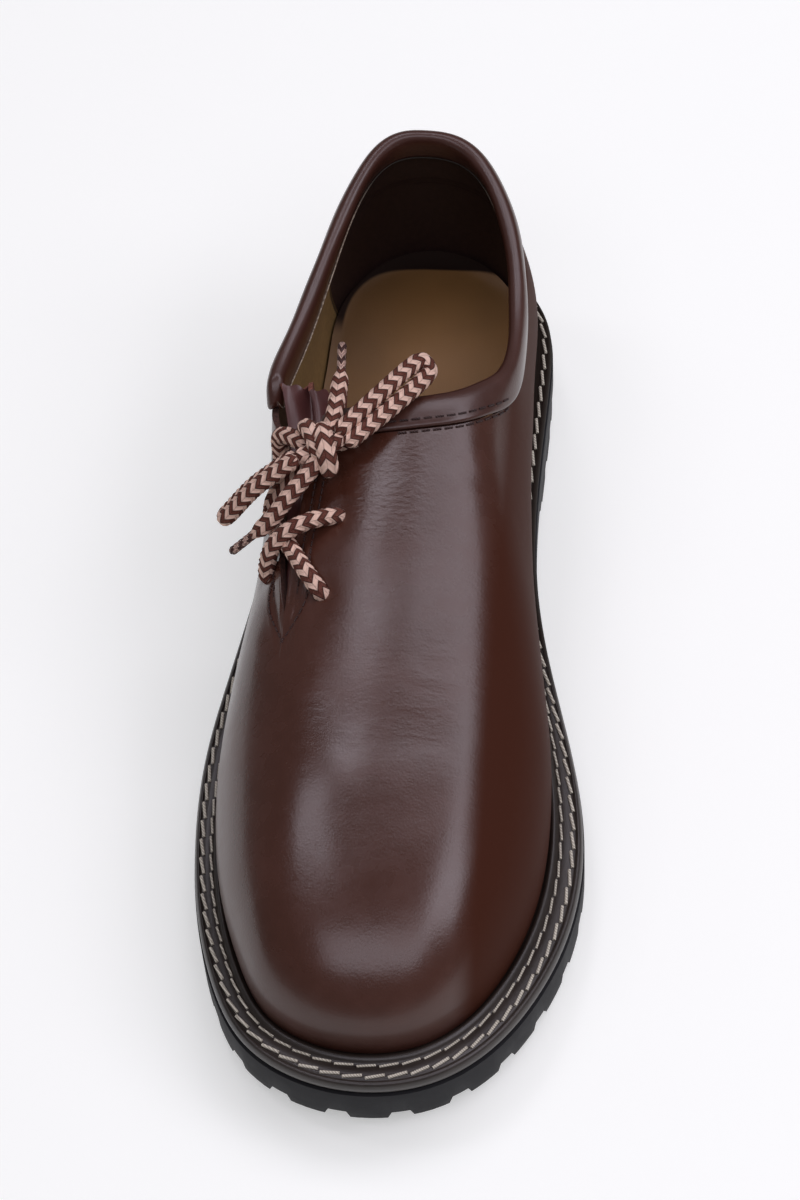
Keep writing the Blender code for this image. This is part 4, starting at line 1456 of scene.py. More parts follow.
@dataclass
class CollarBand:
    """Padded roll round the collar, from one edge of the slit to the other."""

    last: Last
    from_station: float = 1.575
    to_station: float = 1.410
    columns: int = 420
    sides: int = 54
    end_round: float = 3.0
    seam_up: float = 2.3          # of the throat's stitches, above the roll's lower edge
    seam_out: float = 2.66
    throat: Pair = (1.40, 0.49)  # stations of the throat's stitches
    raw_edge: BandPoint = BandPoint(-2.55, -4.75)  # middle of the lining's cut edge
    raw_size: float = 0.44
    raw_sides: int = 8
    wave: float = 0.18
    half_width: float = 2.6
    sharp: float = 55.0

    def frame(self, stations: Array) -> tuple[Array, Array, Array]:
        """Find how the roll lies at each station.

        Args:
            stations: Places round the shoe.

        Returns:
            Middles, outward directions and upward directions.
        """
        middle = self.last.below_top(stations, self.last.band_height / 2)
        centre = self.last.skin(stations, middle)
        outward = self.last.normals(stations, middle)
        upward = unit(self.last.skin(stations, middle + 0.01) - centre)
        return centre - outward * self.last.wall / 2, outward, upward

    def build(self) -> None:
        """Sweep the roll's section round the collar."""
        stations = np.linspace(self.from_station, self.to_station + 2.0, self.columns)
        centre, outward, upward = self.frame(stations)
        shape = closed_curve(np.array(BAND_SECTION), self.sides, False)
        walked = walked_along(centre)
        from_end = np.minimum(walked, walked[-1] - walked) / self.end_round
        size = np.sqrt(np.clip(1 - np.clip(1 - from_end, 0.0, 1.0) ** 2, 0.04, 1.0))
        swell = 1 + self.wave / self.half_width * np.sin(walked / 7.3) * np.sin(walked / 11.0 + 1.0)
        points = []
        for out, up in shape:
            points.append(centre + outward * (out * size * swell)[:, None] + upward * (up * size)[:, None])
        turns = 2 * math.pi * np.arange(self.raw_sides) / self.raw_sides
        bead = []
        for out, up in zip(np.cos(turns), np.sin(turns)):
            out = (self.raw_edge.out + self.raw_size / 2 * out) * size
            up = (self.raw_edge.up + self.raw_size / 2 * up) * size
            bead.append(centre + outward * out[:, None] + upward * up[:, None])
        roll = sweep_faces(self.columns, self.sides, False)
        offset = self.columns * self.sides
        edge = sweep_faces(self.columns, self.raw_sides, False)
        edge = [[corner + offset for corner in face] for face in edge]
        sweep = np.vstack([np.stack(part, axis=1).reshape(-1, 3) for part in (points, bead)])
        band = add_piece("collar_roll", sweep, [*roll, *edge])
        dress(band, Palette.COLLAR, Palette.TAN_EDGE)
        marks = np.repeat(np.arange(2, dtype=np.int32), (len(roll), len(edge)))
        band.data.polygons.foreach_set("material_index", marks)
        crisp(band, self.sharp)
        settle(band, "collar_leather", "collar_band")

    def sew(self) -> None:
        """Sew the row along the roll's lower edge, over the throat."""
        stations = np.linspace(*self.throat, 220)
        centre, outward, upward = self.frame(stations)
        low = self.seam_up - self.last.band_height / 2
        spots = centre + outward * self.seam_out + upward * low
        Seam("collar_seam", Palette.DARK, 3.3, 2.4, 0.6).lay([spots])


class TongueEdge(NamedTuple):
    """One end of the bellows tongue on the skin."""

    lateral: float
    vamp: float
    height: float
    pleat: float


@dataclass
class Tongue:
    """Pleated bellows tongue under the slit."""

    last: Last
    foot: TongueEdge = TongueEdge(1.41, 1.24, 0.63, 0.6)
    top: TongueEdge = TongueEdge(1.562, 1.385, 1.0, 7.5)
    thickness: float = 1.4
    play: float = 2.4
    band_play: float = 2.3
    climb: float = 0.05  # how much higher the top is beside the vamp
    pleats: int = 2
    deepen: float = 1.5
    columns: int = 97
    rows: int = 64
    ragged: float = 1.4
    sharp: float = 50.0

    def build(self) -> None:
        """Build the pleated sheet."""
        up = np.linspace(0.0, 1.0, self.rows)
        lateral, vamp, level = (low + (high - low) * up for low, high in zip(self.foot[:3], self.top[:3]))
        depth = self.foot.pleat + (self.top.pleat - self.foot.pleat) * up ** self.deepen
        points = []
        for share in np.linspace(1.0, 0.0, self.columns):
            beside = float(smooth_step(np.array(share * 2.5)))
            height = level + self.climb * beside * up
            stations = lateral + (vamp - lateral) * share
            fold = depth * (0.5 - 0.5 * math.cos(2 * math.pi * self.pleats * share))
            inward = self.play + self.band_play * up * beside + fold
            spots = self.last.skin(stations, height) - self.last.normals(stations, height) * inward[:, None]
            wavy = math.sin(share * 23.0) * 0.6 + math.sin(share * 51.0 + 1.0) * 0.4
            spots[:, 1] += self.ragged * wavy * smooth_step((up - 0.9) / 0.1)
            points.append(spots)
        tongue = add_piece("tongue_leather", np.vstack(points), grid_faces(self.columns, self.rows, False))
        dress(tongue, Palette.TONGUE, Palette.RED_EDGE)
        sheet = tongue.modifiers.new("Sheet", "SOLIDIFY")
        sheet.thickness = self.thickness * MM
        sheet.offset = -1.0
        sheet.material_offset_rim = 1
        bake(tongue)
        crisp(tongue, self.sharp)
        settle(tongue, "tongue_leather", "tongue")


@dataclass
class Insole:
    """Leather sock on the insole, cupped a little against the wall."""

    last: Last
    play: float = 2.05
    thickness: float = 4.0
    columns: int = 260
    sharp: float = 40.0
    cup: float = 0.8
    cup_reach: float = 0.14   # share of the way to the spine
    heel_reach: float = 0.03  # more of it at the heel
    heel_cup: float = 1.6
    heel_from: Pair = (126.0, 140.0)
    rings: tuple[float, ...] = (0.0, 0.015, 0.03, 0.05, 0.08, 0.11, 0.14, 0.18, 0.24, 0.30, 0.38, 0.55, 0.75)
    axis: Pair = (-95.0, 108.0)
    axis_x: float = -1.0

    def bed(self, plan: Array) -> Array:
        """Height of the insole's underside at plan points."""
        return self.last.welt_top(plan[:, 1]) + self.last.gap

    def build(self) -> None:
        """Build the sock."""
        stations = np.linspace(0.0, 2.0, self.columns, endpoint=False)
        rim = self.last.inset(stations, self.last.ribs(stations)[:, 0] + self.play)
        spine = np.column_stack([np.full(self.columns, self.axis_x), np.clip(rim[:, 1], *self.axis)])
        rows = []
        heel = smooth_step((rim[:, 1] - self.heel_from[0]) / (self.heel_from[1] - self.heel_from[0]))
        for ring in self.rings:
            plan = rim + (spine - rim) * ring
            inside = np.clip(1 - ring / (self.cup_reach + self.heel_reach * heel), 0.0, 1.0)
            lift = (self.cup + self.heel_cup * heel) * inside ** 2
            rows.append(np.column_stack([plan, self.bed(plan) + self.thickness + lift]))
        rows.append(np.column_stack([spine, self.bed(spine) + self.thickness]))
        under = np.column_stack([rim, self.bed(rim)])
        low = np.column_stack([spine, self.bed(spine)])
        points = np.stack([low, under, *rows], axis=1).reshape(-1, 3)
        insole = add_piece("sock_leather", points, grid_faces(self.columns, len(rows) + 2, True))
        with opened(insole) as shape:
            bmesh.ops.remove_doubles(shape, verts=shape.verts[:], dist=1e-6)
            bmesh.ops.holes_fill(shape, edges=shape.edges[:])
            bmesh.ops.recalc_face_normals(shape, faces=shape.faces[:])
        insole.data.shade_smooth()
        crisp(insole, self.sharp)
        dress(insole, Palette.SOCK)
        settle(insole, "insole_leather", "insole")


class WeltPoint(NamedTuple):
    """A point of the welt's section on its top, where it shows."""

    part: float    # share of the showing width, from the outer edge
    height: float  # above the welt's flat top
    bead: float    # how much of the height belongs to the storm bead


WELT_TOP = tuple(WeltPoint(*row) for row in (
    (0.10, 0.00, 0.0),
    (0.19, -0.02, 0.0),
    (0.235, -0.55, 0.0),
    (0.275, -0.15, 0.0),
    (0.33, -0.30, 0.0),
    (0.40, -0.10, 0.0),
    (0.52, -0.05, 0.0),
    (0.60, -0.15, 0.0),
    (0.65, -0.28, 0.0),
    (0.70, -0.10, 0.0),
    (0.74, 0.55, 0.6),
    (0.80, 1.20, 1.0),
    (0.86, 1.40, 1.0),
    (0.92, 1.10, 1.0),
    (0.955, 0.20, 0.6),
))


@dataclass
class Welt:
    """Strip round the upper with a rounded lip, two stitch channels and a storm bead."""

    last: Last
    columns: int = 480
    inset: float = 0.7
    reach: float = 18.0
    outer_row: float = 0.33
    inner_row: float = 0.65
    least_row: float = 2.6  # least distance of a row from the edge
    stitch_pitch: float = 6.2
    lip_back: float = 0.55   # how far the lip's corners lie back
    lip_round: float = 0.95  # how far its middle comes out from them
    lip_ends: Pair = (0.05, 0.15)
    bead_from: float = 1.6   # showing width that leaves room for a bead
    bead_span: float = 3.0
    bead_least: float = 0.35
    full_width: float = 8.0  # showing width that has channels of full depth
    least_depth: float = 0.4
    tuck: float = 0.3        # how far the part under the upper lies below the top
    overlap: float = 0.2
    top_start: float = 0.75  # least depth of the top's points behind the lip
    top_step: float = 0.02
    outer_lift: float = 0.02
    seen: Pair = (0.50, 1.53)  # stations between which the inner row shows
    sharp: float = 60.0

    def lip(self) -> list[Pair]:
        """Draw the outer edge of the section.

        Returns:
            Inset and height of each point, from the bottom up.
        """
        low, high = self.lip_ends
        points = []
        for share in np.linspace(0.0, 1.0, 9):
            bow = math.sin(math.pi * share)
            points.append((self.inset + self.lip_back - self.lip_round * bow ** 0.8,
                           low + (self.last.welt - high) * share))
        return points

    def build(self) -> None:
        """Sweep the welt's section round the sole."""
        stations = np.linspace(0.0, 2.0, self.columns, endpoint=False)
        margin = self.last.ribs(stations)[:, 0]
        bead = np.clip((margin - self.bead_from) / self.bead_span, self.bead_least, 1.0)
        section = [(np.full(self.columns, self.reach), np.zeros(self.columns))]
        for inset, height in self.lip():
            section.append((np.full(self.columns, inset), np.full(self.columns, height)))
        for point in WELT_TOP:
            least = self.inset + self.top_start + self.top_step * len(section)
            depth = np.maximum(margin * point.part, least)
            scale = np.where(point.bead > 0, bead, np.clip(margin / self.full_width, self.least_depth, 1.0))
            section.append((depth, self.last.welt + point.height * scale))
        tucked = np.full(self.columns, self.last.welt - self.tuck)
        section.append((margin + self.overlap, tucked))
        section.append((np.full(self.columns, self.reach), tucked))
        rings = []
        for inset, height in section:
            plan = self.last.inset(stations, inset)
            rings.append(np.column_stack([plan, self.last.rubber_top(plan[:, 1]) + self.last.gap + height]))
        sweep = np.stack(rings[::-1], axis=1).reshape(-1, 3)
        welt = add_piece("welt_strip", sweep, sweep_faces(self.columns, len(section), True))
        crisp(welt, self.sharp)
        dress(welt, Palette.WELT)
        settle(welt, "welt_leather", "welt")

    def row(self, stations: Array, part: float, lift: float) -> Array:
        """Draw the line of a stitch row over the welt.

        Args:
            stations: Places round the shoe.
            part: Share of the showing width, from the outer edge.
            lift: Height over the welt.

        Returns:
            Its points.
        """
        margin = self.last.ribs(stations)[:, 0]
        plan = self.last.inset(stations, np.maximum(margin * part, self.least_row))
        return np.column_stack([plan, self.last.welt_top(plan[:, 1]) + lift])

    def sew(self) -> None:
        """Sew the two cream rows."""
        round_shoe = np.linspace(0.0, 2.0, 900)
        outer = Seam("welt_outer_seam", Palette.CREAM, self.stitch_pitch, 5.5, 0.98, 9.0)
        shows = np.linspace(*self.seen, 600)
        inner = Seam("welt_inner_seam", Palette.CREAM, self.stitch_pitch, 5.3, 0.74, 5.0)
        outer.lay([self.row(round_shoe, self.outer_row, self.outer_lift)])
        inner.lay([self.row(shows, self.inner_row, 0.0)])


class Line(NamedTuple):
    """One radial line of a sole, from its edge to its axis."""

    edge: Pair
    axis: Pair
    lug: bool  # the cell from this line to the next one carries a lug

    def inside(self, depth: float) -> Array:
        """Plan point a depth in from the edge."""
        toward = np.subtract(self.axis, self.edge)
        return np.asarray(self.edge) + toward * (depth / np.linalg.norm(toward))


class Level(Enum):
    """Heights of a tread plate."""

    LOW = "low"    # feet of the lugs
    BASE = "base"  # floor of the grooves
    TOP = "top"


class TreadPlate:
    """A closed plate on radial lines, with separate lugs under it."""

    ROUND_FROM = 40.0  # edges that turn more degrees are rounded
    SHARP = 38.0

    def __init__(self, lines: Sequence[Line], rings: Sequence[float], draft: float,
                 heights: dict[Level, Callable[[float], float]]) -> None:
        """Start an empty plate.

        Args:
            lines: Radial lines, once round.
            rings: Depths from the edge where the tread steps.
            draft: How far each flank of a lug leans in towards the floor.
            heights: Height of each level at a place along the shoe.
        """
        self.draft = draft
        self.heights = heights
        self.lines = list(lines)
        self.rings = (0.0, *rings)
        self.points: list[Spot] = []
        self.faces: list[list[int]] = []
        self.index: dict[tuple, int] = {}

    def point(self, line: int, ring: int, level: Level) -> int:
        """Find a point on a radial line, made when it is first asked for.

        Args:
            line: Number of the line.
            ring: Number of the ring, or one more for the axis.
            level: Its height.

        Returns:
            Its index.
        """
        place = line % len(self.lines)
        if ring == len(self.rings):
            plan = np.asarray(self.lines[place].axis)
            key: tuple = (round(float(plan[0]), 3), round(float(plan[1]), 3), level)
        else:
            plan = self.lines[place].inside(self.rings[ring])
            key = (place, ring, level)
            if level is Level.LOW:
                plan = plan + self.lean(place, ring, plan)
        if key not in self.index:
            self.index[key] = len(self.points)
            self.points.append((float(plan[0]), float(plan[1]), float(self.heights[level](plan[1]))))
        return self.index[key]

    def lean(self, place: int, ring: int, plan: Array) -> Array:
        """Find the way from a lug's flank to where it stands on the floor.

        Args:
            place: Number of the line.
            ring: Number of the ring.
            plan: Point of the flank.

        Returns:
            The way, which is nothing inside a lug.
        """
        before = self.lines[place - 1]
        after = self.lines[(place + 1) % len(self.lines)]
        if self.lines[place].lug == before.lug:
            return np.zeros(2)
        inward = (after if self.lines[place].lug else before).inside(self.rings[ring]) - plan
        return unit(inward) * self.draft

    def face(self, *corners: int) -> None:
        """Add a face, dropping corners that fall together on the axis.

        Args:
            corners: Indices of its points.
        """
        kept = [corner for place, corner in enumerate(corners) if corner != corners[place - 1]]
        if len(kept) > 2:
            self.faces.append(kept)

    def quad(self, corners: Sequence[tuple[int, int]], level: Level) -> None:
        """Add a face on one level, from the lines and rings of its corners."""
        self.face(*(self.point(line, ring, level) for line, ring in corners))

    def is_lug(self, line: int, band: int) -> bool:
        """Lugs stand in every second band, and across the axis only where it runs straight.

        Args:
            line: Number of the line before the cell.
            band: Number of the ring outside the cell.

        Returns:
            Whether the cell is part of a lug.
        """
        here = self.lines[line % len(self.lines)]
        following = self.lines[(line + 1) % len(self.lines)]
        if band == len(self.rings) - 1 and here.axis == following.axis:
            return False
        return here.lug and band % 2 == 0

    def build_underside(self) -> None:
        """Make the lug faces, the groove faces and the steps between them."""
        for line in range(len(self.lines)):
            for band in range(len(self.rings)):
                lug = self.is_lug(line, band)
                corners = ((line, band), (line + 1, band), (line + 1, band + 1), (line, band + 1))
                self.quad(corners, Level.LOW if lug else Level.BASE)
                if lug:
                    self.lug_walls(line, band)

    def lug_walls(self, line: int, band: int) -> None:
        """Make the steps round one cell of a lug, with none where the lug runs on.

        Args:
            line: Number of the line before the cell.
            band: Number of the ring outside the cell.
        """
        corners = ((line, band), (line, band + 1), (line + 1, band + 1), (line + 1, band))
        for place, start in enumerate(corners):
            end = corners[(place + 1) % len(corners)]
            if start[1] == end[1] == len(self.rings):
                continue
            if start[0] == end[0] == line and self.is_lug(line - 1, band):
                continue
            if start[0] == end[0] == line + 1 and self.is_lug(line + 1, band):
                continue
            self.face(self.point(*start, Level.LOW), self.point(*end, Level.LOW),
                      self.point(*end, Level.BASE), self.point(*start, Level.BASE))

    def build_top(self) -> None:
        """Make the side wall and the top face."""
        self.rings = (0.0,)
        for line in range(len(self.lines)):
            self.face(self.point(line, 0, Level.BASE), self.point(line, 0, Level.TOP),
                      self.point(line + 1, 0, Level.TOP), self.point(line + 1, 0, Level.BASE))
            self.quad(((line, 0), (line, 1), (line + 1, 1), (line + 1, 0)), Level.TOP)

    def cast(self, name: str, bevel: float) -> Piece:
        """Make the plate an object with its edges rounded.

        Args:
            name: Name of the piece.
            bevel: Width of the rounding.

        Returns:
            The plate.
        """
        self.build_underside()
        self.build_top()
        plate = add_piece(name, np.array(self.points), self.faces)
        rounding = plate.modifiers.new("Rounding", "BEVEL")
        rounding.width = bevel * MM
        rounding.segments = 2
        rounding.limit_method = "ANGLE"
        rounding.angle_limit = math.radians(self.ROUND_FROM)
        bake(plate)
        plate.data.shade_smooth()
        crisp(plate, self.SHARP)
        dress(plate, Palette.RUBBER)
        return plate


@dataclass
class Sole:
    """Lugged rubber sole and its separate heel block."""

    last: Last
    lug: float = 11.8
    notch: float = 4.8
    tread_end: float = 14.0
    tread_rings: tuple[float, ...] = (13.0, 18.0, 30.0, 35.0)
    heel_breast: float = 66.0
    heel_lug_depth: float = 3.4
    heel_rings: tuple[float, ...] = (11.0, 15.0, 24.0)
    heel_play: float = 0.5
    axis_heel: Pair = (-2.0, 108.0)
    axis_toe: Pair = (-1.0, -98.0)
    heel_centre: Pair = (-2.0, 106.0)
    splits: int = 4
    bevel: float = 0.45
    draft: float = 1.1

    def places(self, start: float, end: float, first_is_lug: bool) -> list[tuple[float, bool]]:
        """Share a run out between lugs and notches.

        Args:
            start: Where the run starts.
            end: Where it ends.
            first_is_lug: Whether it starts with a lug.

        Returns:
            Place of each border, and whether a lug follows it.
        """
        pitch = self.lug + self.notch
        pairs = max(1, round((end - start) / pitch))
        scale = (end - start) / (pairs * pitch)
        places = []
        place = start
        is_lug = first_is_lug
        for _ in range(2 * pairs):
            places.append((place, is_lug))
            place += (self.lug if is_lug else self.notch) * scale
            is_lug = not is_lug
        return places

    def axis_at(self, y: float) -> Pair:
        """Point of the sole's long axis."""
        share = (y - self.axis_toe[1]) / (self.axis_heel[1] - self.axis_toe[1])
        return (self.axis_toe[0] + share * (self.axis_heel[0] - self.axis_toe[0]), y)

    def marks(self) -> list[tuple[float, Pair, bool]]:
        """Find the borders of lugs and notches, once round the sole.

        Returns:
            Station, axis point and lug of each border.
        """
        half = self.last.edge_length / 2
        heel_arc = self.last.station_at_y(self.axis_heel[1], True) * half
        toe_arc = (1 - self.last.station_at_y(self.axis_toe[1], True)) * half
        heel_turns = [place / heel_arc * math.pi / 2 for place, _ in self.places(0.0, heel_arc, True)]
        straight = self.places(self.axis_toe[1], self.axis_heel[1], False)
        borders = [place for place, _ in straight] + [self.axis_heel[1]]
        treads = [lug and border < self.tread_end for (_, lug), border in zip(straight, borders[1:])]
        marks = [(self.last.station_at_angle(self.axis_heel, turn), self.axis_heel, False)
                 for turn in heel_turns]
        for border, lug in zip(borders[:0:-1], treads[::-1]):
            marks.append((self.last.station_at_y(border, True), self.axis_at(border), lug))
        for place, lug in self.places(0.0, 2 * toe_arc, True):
            angle = math.pi / 2 * (1 + place / toe_arc)
            marks.append((self.last.station_at_angle(self.axis_toe, angle), self.axis_toe, lug))
        for border, lug in zip(borders, treads):
            marks.append((self.last.station_at_y(border, False), self.axis_at(border), lug))
        marks.append((self.last.station_at_y(self.axis_heel[1], False), self.axis_heel, False))
        for turn in heel_turns[:0:-1]:
            station = self.last.station_at_angle(self.axis_heel, 2 * math.pi - turn)
            marks.append((station, self.axis_heel, False))
        return marks

    def sole_lines(self) -> list[Line]:
        """Lay out the radial lines of the sole.

        Returns:
            Several lines to each lug and notch.
        """
        marks = self.marks()
        lines = []
        for number, (station, axis, lug) in enumerate(marks):
            after_station, after_axis, _ = marks[(number + 1) % len(marks)]
            if after_station < station:
                after_station += 2.0
            for split in range(self.splits):
                share = split / self.splits
                edge = self.last.at(np.array([station + (after_station - station) * share]))[0]
                middle = np.add(axis, np.subtract(after_axis, axis) * share)
                lines.append(Line(tuple(edge), tuple(middle), lug))
        return lines

    def build_sole(self) -> None:
        """Build the lugged plate."""
        top = self.last.rubber_top
        plate = TreadPlate(self.sole_lines(), self.tread_rings, self.draft, {
            Level.LOW: lambda y: top(y) - self.last.rubber,
            Level.BASE: lambda y: top(y) - self.last.plate,
            Level.TOP: top,
        })
        settle(plate.cast("rubber_sole", self.bevel), "rubber_sole", "outsole")

    def heel_lines(self) -> list[Line]:
        """Lay out the radial lines of the heel block.

        Returns:
            Lines round its back and across its breast.
        """
        medial = self.last.station_at_y(self.heel_breast, True)
        lateral = self.last.station_at_y(self.heel_breast, False)
        half = self.last.edge_length / 2
        run = (medial + 2 - lateral) * half
        marks = [(lateral + place / half, lug) for place, lug in self.places(0.0, run, True)]
        ends = [station for station, _ in marks[1:]] + [medial + 2]
        lines = []
        for (station, lug), after in zip(marks, ends):
            for split in range(self.splits):
                place = station + (after - station) * split / self.splits
                edge = self.last.inset(np.array([place]), self.heel_play)[0]
                lines.append(Line(tuple(edge), self.heel_centre, lug))
        last, first = self.last.inset(np.array([medial, lateral]), self.heel_play)
        breast = float(np.linalg.norm(first - last))
        for place, lug in self.places(0.0, breast, True):
            lines.append(Line(tuple(last + (first - last) * place / breast), self.heel_centre, lug))
        return lines

    def build_heel(self) -> None:
        """Build the heel block."""
        block = TreadPlate(self.heel_lines(), self.heel_rings, self.draft, {
            Level.LOW: lambda y: 0.0,
            Level.BASE: lambda y: self.heel_lug_depth,
            Level.TOP: lambda y: self.last.rubber_top(y) - self.last.plate - self.last.gap,
        })
        settle(block.cast("rubber_heel", self.bevel), "rubber_heel", "heel")


def smooth_route(points: Sequence[Spot], spacing: float) -> Array:
    """Read points at an even spacing on a smooth curve through a route's own points.

    Args:
        points: The route.
        spacing: Distance between the points that are read.

    Returns:
        The points.
    """
    points = np.asarray(points, dtype=float)
    before = np.vstack([2 * points[0] - points[1], points[:-1]])
    after = np.vstack([points[1:], 2 * points[-1] - points[-2]])
    tangents = (after - before) / 2
    share = np.linspace(0.0, 1.0, 24, endpoint=False)[:, None]
    dense = []
    for start, end, leave, arrive in zip(points, points[1:], tangents, tangents[1:]):
        dense.append((2 * share ** 3 - 3 * share ** 2 + 1) * start
                     + (share ** 3 - 2 * share ** 2 + share) * leave
                     + (3 * share ** 2 - 2 * share ** 3) * end
                     + (share ** 3 - share ** 2) * arrive)
    dense = np.vstack([*dense, points[-1:]])
    walked = walked_along(dense)
    places = np.linspace(0.0, walked[-1], max(3, round(walked[-1] / spacing) + 1))
    return np.column_stack([np.interp(places, walked, part) for part in dense.T])


class Loop(NamedTuple):
    """Middle line of a bow loop, and half of the way between its two strands."""

    line: tuple[Spot, ...]
    half: Spot


LOOPS = {
    "lace_loop_front": Loop(
        ((-17.8, 25.2, 89.2), (-6.4, 36.8, 92.0), (3.2, 49.2, 91.8)), (-1.60, 1.55, 1.30)),
    "lace_loop_side": Loop(
        ((-30.0, 20.6, 86.2), (-42.0, 16.8, 77.0), (-50.0, 13.8, 67.6)), (0.30, -1.95, 1.65)),
}
ENDS = {
    "lace_end_back": ((-21.0, 30.0, 88.4), (-20.0, 39.5, 90.2), (-19.7, 48.0, 90.8)),
    "lace_end_side": ((-25.0, 17.4, 86.2), (-31.8, 10.8, 80.4), (-37.4, 6.6, 73.6)),
}
AGLETS = {
    "aglet_back": ((-19.7, 48.4, 90.8), (-20.0, 53.5, 91.2), (-20.3, 58.6, 91.6)),
    "aglet_side": ((-37.7, 6.5, 73.2), (-43.8, 4.8, 67.2), (-49.4, 3.3, 61.8)),
}
KNOT_CENTRE = (-23.5, 22.0, 87.1)
KNOT_WRAPS = (
    ((0.2, 6.2, -4.0), (0.0, 6.6, 0.4), (0.6, 3.2, 3.8),
     (1.8, -1.6, 4.0), (2.8, -4.8, 0.6), (2.6, -4.4, -4.0)),
    ((-5.2, 6.6, -4.2), (-5.0, 8.2, 0.2), (-3.4, 5.0, 3.2), (-1.4, 0.6, 3.0), (0.2, -3.4, 0.6)),
    ((-7.4, -1.4, -1.4), (-3.0, -0.6, -0.2), (2.0, 1.6, 0.6), (6.4, 4.4, 1.8)),
)
HIGH_CURL = ((-37.4, 34.6, 69.5), (-37.2, 34.2, 76.4), (-35.2, 32.2, 80.8),
             (-31.6, 28.8, 83.6), (-27.4, 25.0, 85.6))


@dataclass
class Lace:
    """The round braided lace: its bars through the holes, the knot, two loops and two ends."""

    last: Last
    diameter: float = 5.2
    wrap_diameter: float = 6.0  # of the knot's outer wrap, which lies flattened
    tip_diameter: float = 2.7
    tip_length: float = 11.5
    lift: float = 0.25
    cross_lift: float = 3.4
    rest_lift: float = 0.8
    dive: float = 4.5
    spacing: float = 0.32
    sides: int = 40
    pitch: float = 4.0
    chevrons: float = 4.0
    slope: float = 0.48
    swell: float = 0.55
    sink: float = 0.6       # depth of a bar's ends just inside their holes
    press: float = 0.2      # how far a bar is pressed in beside its holes
    spread: Spot = (0.75, 1.0, 0.95)  # how far a loop's strands stand apart along it
    start_share: float = 0.2  # an end starts this far out of the knot's middle

    def tube(self, name: str, routes: Sequence[Array], diameters: Sequence[float], finish: Palette,
             drawn: float = 0.0) -> Piece:
        """Wind braid round routes.

        Args:
            name: Name of the piece.
            routes: Middle lines at an even spacing.
            diameters: Thickness of the braid on each route.
            finish: Its finish.
            drawn: Length at the far end that is drawn in to fit a wrapped tip.

        Returns:
            The braid as one mesh, with a UV map of millimetres along and turns round.
        """
        points = []
        faces = []
        corners = []
        turns = np.arange(self.sides) / self.sides
        angles = 2 * math.pi * turns
        leg = np.abs((turns * self.chevrons) % 1.0 - 0.5) * 2
        for route, diameter in zip(routes, diameters):
            ahead = unit(np.gradient(route, axis=0))
            side = unit(np.cross(ahead[0], (0.0, 0.0, 1.0)))
            walked = walked_along(route)
            start = len(points)
            for place, spot in enumerate(route):
                side = unit(side - ahead[place] * (side @ ahead[place]))
                over = np.cross(side, ahead[place])
                step = (walked[place] / self.pitch + leg * self.slope) % 0.5 * 2
                radius = diameter / 2 - self.swell * (1 - np.sin(math.pi * step) ** 0.7)
                near_end = min(walked[place], walked[-1] - walked[place]) / (diameter / 2)
                radius = radius * math.sqrt(max(0.12, 1 - max(0.0, 1 - near_end) ** 2))
                if drawn:
                    slim = smooth_step((walked[place] - walked[-1] + drawn) / self.diameter + 0.5)
                    radius = radius * (1 - slim * (1 - 0.9 * self.tip_diameter / diameter))
                ring = np.outer(np.cos(angles) * radius, over) + np.outer(np.sin(angles) * radius, side)
                points.extend(spot + ring)
            for face in sweep_faces(len(route), self.sides, False):
                faces.append([corner + start for corner in face])
                marks = [(walked[corner // self.sides], turns[corner % self.sides]) for corner in face]
                if len(face) == 4 and max(mark[1] for mark in marks) - min(mark[1] for mark in marks) > 0.5:
                    marks = [(along, turn + 1.0 if turn < 0.5 else turn) for along, turn in marks]
                corners.extend(marks)
        piece = add_piece(name, np.array(points), faces)
        add_uv(piece, np.array(corners))
        with opened(piece) as shape:
            bmesh.ops.recalc_face_normals(shape, faces=shape.faces[:])
        dress(piece, finish)
        return piece

    def bar(self, start: Sequence[float], end: Sequence[float], raised: float) -> Array:
        """Route of a bar from one lace hole to another.

        Args:
            start: Plan point of the first hole.
            end: Plan point of the last hole.
            raised: Extra height in the middle.

        Returns:
            Its points at an even spacing.
        """
        spots = []
        for share in np.linspace(0.0, 1.0, 9):
            x, y = (1 - share) * np.asarray(start) + share * np.asarray(end)
            spot, normal = self.last.on_skin(x, y)
            if share in (0.0, 1.0):
                inner = [spot - normal * self.dive, spot - normal * self.sink]
                spots.extend(inner if share == 0.0 else inner[::-1])
                continue
            if share in (0.125, 0.875):
                spots.append(spot + normal * (self.diameter / 2 - self.press))
                continue
            height = self.diameter / 2 + self.lift + raised * math.sin(math.pi * share) ** 2
            spots.append(spot + normal * height)
        return smooth_route(spots, self.spacing)

    def feeder(self, hole: Sequence[float]) -> Array:
        """Route from the outer top hole inside the slit's edge, up out of the slit and over into the knot."""
        spot, normal = self.last.on_skin(*hole)
        return smooth_route([spot, spot - normal * (self.dive - 1.0), *HIGH_CURL], self.spacing)

    def loop_route(self, loop: Loop) -> Array:
        """Lead the lace out along one side of a loop's middle line, round its tip and back.

        Args:
            loop: The loop.

        Returns:
            Points of the route at an even spacing.
        """
        line = np.asarray(loop.line)
        aside = np.outer(self.spread, loop.half)
        tip = line[-1] + unit(line[-1] - line[-2]) * self.diameter / 2
        return smooth_route(np.vstack([line + aside, tip, (line - aside)[::-1]]), self.spacing)

